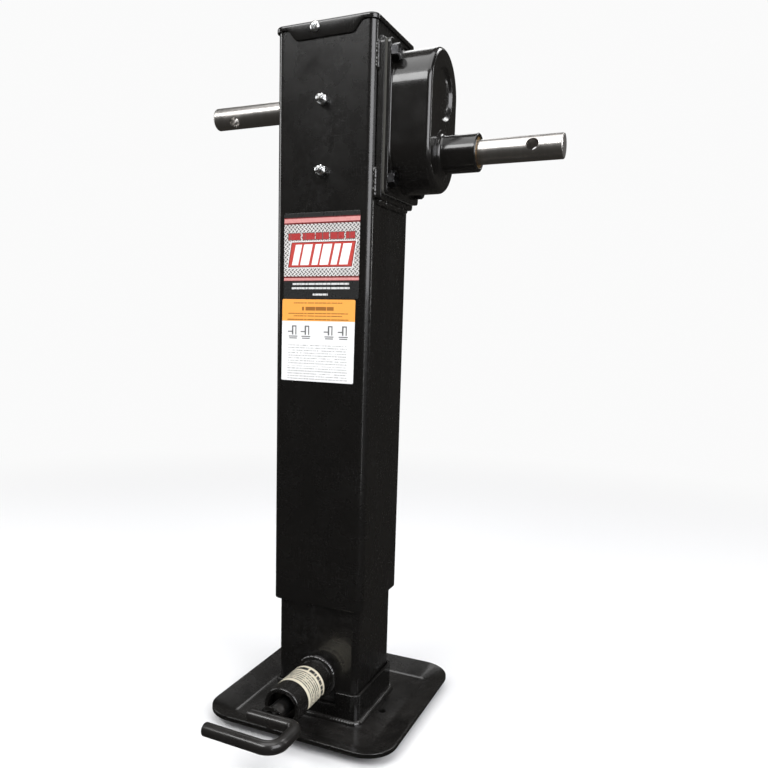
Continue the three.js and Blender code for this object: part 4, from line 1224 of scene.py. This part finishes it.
def bronze():
    """Pores are the dark middles of small cells."""
    made, shader, where = material("pressed_bronze")
    cells = node(where.id_data, "TexVoronoi", {"Vector": where, "Scale": 1900.0}).outputs["Distance"]
    pore = ramp(cells, 0.12, 0.3, 1, 0)
    cloud = noise(where, 130, 4, 0.6)
    colour = mix(cloud, (0.36, 0.22, 0.09, 1), (0.66, 0.45, 0.21, 1))
    colour = mix(times(pore, 0.7), colour, (0.06, 0.04, 0.02, 1))
    rough = scaled(cloud, 0.2, 0.3)
    feed(shader, colour, rough, 1.0, minus(1.0, pore), 0.00004, 0.5)
    return made


def gasket_paper():
    made, shader, where = material("gasket_paper")
    fibre = noise(stretched(where, (500, 1500, 900)), 1.0, 4, 0.7)
    speck = ramp(noise(where, 1400, 2), 0.58, 0.7)
    colour = mix(fibre, (0.018, 0.018, 0.016, 1), (0.06, 0.058, 0.05, 1))
    colour = mix(times(speck, 0.4), colour, (0.12, 0.11, 0.09, 1))
    feed(shader, colour, ramp(fibre, 0.3, 0.7, 0.65, 0.9), 0.0, fibre, 0.00012, 0.6)
    return made


finishes.update({
    "shaft_steel": turned_steel("turned_steel_along_x", (2600, 70, 70)),
    "screw_steel": turned_steel("turned_steel_upright", (70, 70, 2200), 0.42),
    "zinc_plate": plain_metal("bright_zinc", (0.66, 0.68, 0.70, 1), (0.86, 0.87, 0.87, 1), 0.22, 0.12, 1500,
                              0.00001, (0.80, 0.74, 0.56, 1)),
    "dark_steel": plain_metal("oiled_dark_steel", (0.05, 0.05, 0.052, 1), (0.16, 0.155, 0.15, 1), 0.26, 0.22,
                              1100, 0.00004, (0.10, 0.075, 0.05, 1)),
    "bolt_steel": plain_metal("black_oxide_bolt", (0.05, 0.05, 0.055, 1), (0.15, 0.15, 0.155, 1), 0.2, 0.16,
                              1600, 0.00003),
    "bronze": bronze(),
    "gasket": gasket_paper(),
})
print("finishes:", len(finishes))

# %% [markdown]
# The print on the films is drawn with masks, one for each box of ink. A box mask compares the distance from
# the box's middle with its half size along x and z, and leans if its sides lean. Rows of print are only dashes
# of uneven length, because a real label's words and marks have no place here. A checker-plate pattern fills
# the large label's field: short bars at two right angles, in cells that alternate.

# %% Print masks
def box_group():
    tree, given, out = group("ink_box", [
        VECTOR, ("Centre X", "Float", 0.0), ("Centre Z", "Float", 0.0), ("Half X", "Float", 0.01),
        ("Half Z", "Float", 0.01), ("Lean", "Float", 0.0), ("Soft", "Float", 0.00012)], ["Mask"])
    apart = axes_of(given["Vector"])
    z = minus(apart["Z"], given["Centre Z"])
    x = minus(apart["X"], given["Centre X"])
    x = minus(x, times(z, given["Lean"]))
    beyond = calc("MAXIMUM",
                  minus(calc("ABSOLUTE", x), given["Half X"]),
                  minus(calc("ABSOLUTE", z), given["Half Z"]))
    edge = calc("DIVIDE", beyond, given["Soft"])
    inside = node(tree, "Clamp", {0: minus(0.5, edge)}).outputs[0]
    tree.links.new(inside, out["Mask"])
    return tree


def rows_group():
    """Rows repeat every pitch along z, and fill a share of it. Along x a noise that differs from row to row
    is cut into dashes."""
    tree, given, out = group("ink_rows", [
        ("Along", "Float", 0.0), ("Across", "Float", 0.0), ("Pitch", "Float", 0.004),
        ("Fill", "Float", 0.4), ("Letters", "Float", 900.0), ("Gap", "Float", 0.42)], ["Mask"])
    count = calc("DIVIDE", given["Across"], given["Pitch"])
    row = calc("FLOOR", count)
    in_row = calc("LESS_THAN", calc("FRACT", count), given["Fill"])
    place = node(tree, "CombineXYZ", {
        0: times(given["Along"], given["Letters"]), 1: times(row, 7.31)}).outputs[0]
    dash = calc("GREATER_THAN", noise(place, 1.0, 1.0), given["Gap"])
    tree.links.new(times(in_row, dash), out["Mask"])
    return tree


def tread_group():
    """u and v run along the two diagonals in cells. In even cells a bar lies along u, in odd ones along v."""
    tree, given, out = group("checker_plate", [VECTOR, ("Pitch", "Float", 0.0040)], ["Mask"])
    apart = axes_of(given["Vector"])
    u, v = (calc("DIVIDE", calc(way, apart["X"], apart["Z"]), given["Pitch"])
            for way in ("ADD", "SUBTRACT"))
    odd = calc("PINGPONG", calc("ADD", calc("FLOOR", u), calc("FLOOR", v)), 1.0)
    fu, fv = (calc("ABSOLUTE", minus(calc("FRACT", w), 0.5)) for w in (u, v))
    bars = []
    for slim, long in ((fu, fv), (fv, fu)):
        bars.append(times(calc("LESS_THAN", slim, 0.22), calc("LESS_THAN", long, 0.47)))
    first = times(bars[0], odd)
    second = times(bars[1], minus(1.0, odd))
    tree.links.new(calc("ADD", first, second), out["Mask"])
    return tree


BOX, ROWS, TREAD = box_group(), rows_group(), tread_group()


def ink_box(where, x, z, half_x, half_z, lean=0.0):
    return use(BOX, Vector=where, Centre_X=x * MM, Centre_Z=z * MM, Half_X=half_x * MM,
               Half_Z=half_z * MM, Lean=lean)["Mask"]


def printed(colour, layers):
    """Lays inks over each other: pairs of mask and colour."""
    for mask, ink in layers:
        colour = mix(mask, colour, ink)
    return colour


def rows_in(where, x, z, half_x, half_z, pitch, fill, letters, gap):
    apart = axes_of(where)
    across = minus(apart["Z"], (z - half_z) * MM)
    rows = use(ROWS, Along=apart["X"], Across=across, Pitch=pitch * MM, Fill=fill, Letters=letters,
               Gap=gap)["Mask"]
    return times(rows, ink_box(where, x, z, half_x, half_z))


def film_finish(shader, where, colour, rough):
    """Printed vinyl: a little uneven in gloss, with faint ripples from being rubbed down by hand."""
    cloud = noise(where, 70, 3, 0.6)
    ripple = noise(stretched(where, (60, 60, 220)), 1.0, 2)
    feed(shader, colour, scaled(cloud, 0.18, rough - 0.09), 0.0, ripple, 0.0002, 0.12)
    shader.inputs["Coat Weight"].default_value = 0.25
    shader.inputs["Coat Roughness"].default_value = 0.2


print("print masks ready")

# %% [markdown]
# Each film's print is one material that lays boxes, rows and pattern over its ground colour, in the order in which
# inks would be printed. The band round the plunger's tube measures its rows along an arc. A drawn picture would be
# simpler, but it would have a fixed sharpness and would need a file.

# %% Label prints
DARK_RED = (0.14, 0.018, 0.018, 1)
INK_RED, INK_ROSE = (0.36, 0.04, 0.04, 1), (0.60, 0.26, 0.25, 1)
INK_WHITE, INK_SILVER, INK_STEEL = grey(0.85), grey(0.50, 0.03), grey(0.10, 0.05)


def upper_print():
    """From the top: a dark band, a rose and a red stripe, a checker-plate field with a red panel of six
    leaning white bars, another stripe, and three short rows of pale dashes on black."""
    made, shader, where = material("upper_label_print")
    tread = use(TREAD, Vector=where)["Mask"]
    glare = ramp(noise(where, 22, 2), 0.3, 0.75)
    field = mix(glare, INK_SILVER, grey(0.72, 0.02))
    field = mix(tread, field, INK_STEEL)
    colour = mix(ink_box(where, 0, 478.2, 60, 24.4), grey(0.02), field)
    layers = [
        (ink_box(where, 0, 505.6, 60, 3.1), DARK_RED), (ink_box(where, 0, 505.9, 60, 1.9), INK_ROSE),
        (ink_box(where, 0, 451.6, 60, 2.2), DARK_RED), (ink_box(where, 0, 451.1, 60, 1.2), INK_ROSE),
        (rows_in(where, 0, 491.2, 35.5, 3.7, 7.5, 0.95, 260.0, 0.40), INK_STEEL),
        (rows_in(where, 0, 491.2, 35.0, 3.2, 6.5, 0.95, 260.0, 0.42), INK_RED),
        (ink_box(where, 0.4, 474.0, 34.8, 12.6, 0.16), grey(0.78)),
        (ink_box(where, 0.4, 474.0, 34.0, 11.9, 0.16), DARK_RED),
        (ink_box(where, 0.4, 474.0, 33.2, 11.1, 0.16), (0.46, 0.055, 0.045, 1)),
    ]
    for x, half_x in ((-25.6, 3.4), (-15.4, 4.6), (-4.6, 3.2), (5.2, 4.6), (15.6, 3.2), (25.6, 4.4)):
        layers.append((ink_box(where, x, 474.0, half_x, 9.6, 0.22), INK_WHITE))
    for z, half_x in ((446.6, 30.0), (442.6, 31.0), (436.6, 8.0)):
        layers.append((rows_in(where, 0, z, half_x, 0.9, 2.2, 0.9, 950.0, 0.41), grey(0.62)))
    film_finish(shader, where, printed(colour, layers), 0.28)
    return made


def lower_print():
    """An amber band with brown dashes over white, four small grey sketches of blocks, and rows of fine grey
    dashes."""
    made, shader, where = material("lower_label_print")
    middle = LOWER_LABEL[0]
    bars = ((0, 1.5, 0.8, 4.4), (3.6, 1.5, 0.6, 4.4), (1.8, 5.4, 2.3, 0.6), (-2.8, 0.2, 2.4, 0.55),
            (0.6, -4.4, 4.8, 0.5), (0.6, -6.2, 4.2, 0.5))
    paper = mix(noise(where, 35, 3), grey(0.74), grey(0.82))
    brown = (0.30, 0.12, 0.02, 1)
    layers = [(ink_box(where, middle, 423.5, 60, 12.2), (0.85, 0.36, 0.065, 1))]
    for z, half_x, half_z, letters in ((428.6, 26, 0.45, 900.0), (423.2, 17, 1.8, 330.0), (418.6, 32, 0.45, 900.0),
                                       (416.2, 26, 0.45, 900.0), (412.8, 33, 0.55, 900.0)):
        pitch = 2.2 * half_z + 0.2
        layers.append((rows_in(where, middle, z, half_x, half_z, pitch, 0.92, letters, 0.40), brown))
    for x in (-27.0, -13.0, 12.0, 27.0):
        for dx, dz, wide, tall in bars:
            layers.append((ink_box(where, middle + x + dx, 401.0 + dz, wide, tall), grey(0.12)))
    for z, half_x, half_z, gap in ((380.0, 31.5, 10.0, 0.47), (361.5, 32.5, 6.5, 0.45)):
        layers.append((rows_in(where, middle, z, half_x, half_z, 2.5, 0.36, 1100.0, gap), grey(0.36)))
    film_finish(shader, where, printed(paper, layers), 0.4)
    return made


def band_print():
    """Print that runs round the plunger's tube. Its distance along a row is the angle about the pin times the
    tube's radius, and its rows lie at distances along the tube."""
    made, shader, where = material("plunger_label_print")
    apart = axes_of(where)
    above = minus(apart["Z"], PIN_Z * MM)
    around = times(calc("ARCTAN2", above, apart["X"]), PLUNGER_TUBE_R * MM)
    colour = mix(noise(where, 60, 3), (0.62, 0.57, 0.44, 1), (0.74, 0.69, 0.55, 1))
    for start, end, pitch, fill, letters, gap, ink in (
        (-74.2, -69.0, 5.2, 0.9, 420.0, 0.44, grey(0.02)), (-96.0, -77.0, 3.3, 0.5, 800.0, 0.42, grey(0.05)),
    ):
        across = minus(apart["Y"], start * MM)
        rows = use(ROWS, Along=around, Across=across, Pitch=pitch * MM, Fill=fill, Letters=letters,
                   Gap=gap)["Mask"]
        inside = times(calc("GREATER_THAN", apart["Y"], start * MM), calc("LESS_THAN", apart["Y"], end * MM))
        colour = mix(times(rows, inside), colour, ink)
    film_finish(shader, where, colour, 0.42)
    return made


finishes.update({"upper_print": upper_print(), "lower_print": lower_print(), "band_print": band_print()})
print("label prints:", [n for n in finishes if "print" in n])

# %% [markdown]
# Last, every shown piece gets its finish. Most follow the record's slot. A few painted pieces differ from the
# rest, because a pressed cover is smoother than a rolled tube and a foot's edges are lighter, rubbed more and
# with more painted edge highlight. They are named.

# %% Dress every piece
BY_SLOT = {
    "black_paint": "tube_paint", "machined_steel": "shaft_steel", "zinc_plate": "zinc_plate",
    "dark_steel": "dark_steel", "bronze": "bronze", "gasket": "gasket",
    "label_red": "upper_print", "label_film": "lower_print",
}
BY_NAME = {
    "gearbox_cover_body": "cover_paint", "input_hub_body": "cover_paint", "cap_lid": "cover_paint",
    "foot_plate_body": "foot_paint", "foot_collar_body": "foot_paint", "plunger_handle_bar": "handle_paint",
    "plunger_tube_body": "cover_paint", "gearbox_welds": "weld_paint", "left_hub_weld": "weld_paint",
    "plunger_weld": "weld_paint", "collar_weld": "weld_paint", "handle_weld_bead": "weld_paint",
    "lead_screw_bar": "screw_steel", "plunger_label_film": "band_print",
}
BY_NAME.update({f"cover_bolt_head_{i}": "bolt_steel" for i in range(1, 5)})
slot_of = {part["node"]: part["material_slot"] for part in frame["record"]["subparts"]}
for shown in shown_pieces():
    slot = slot_of.get(shown.name) or shown.get("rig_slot")
    finish = finishes[BY_NAME.get(shown.name) or BY_SLOT[slot]]
    shown.data.materials.clear()
    shown.data.materials.append(finish)

# %% [markdown]
# The view transform is the plain one, so that black paint stays black on a pale floor.

# %% Finish
scene.view_settings.view_transform = "Standard"
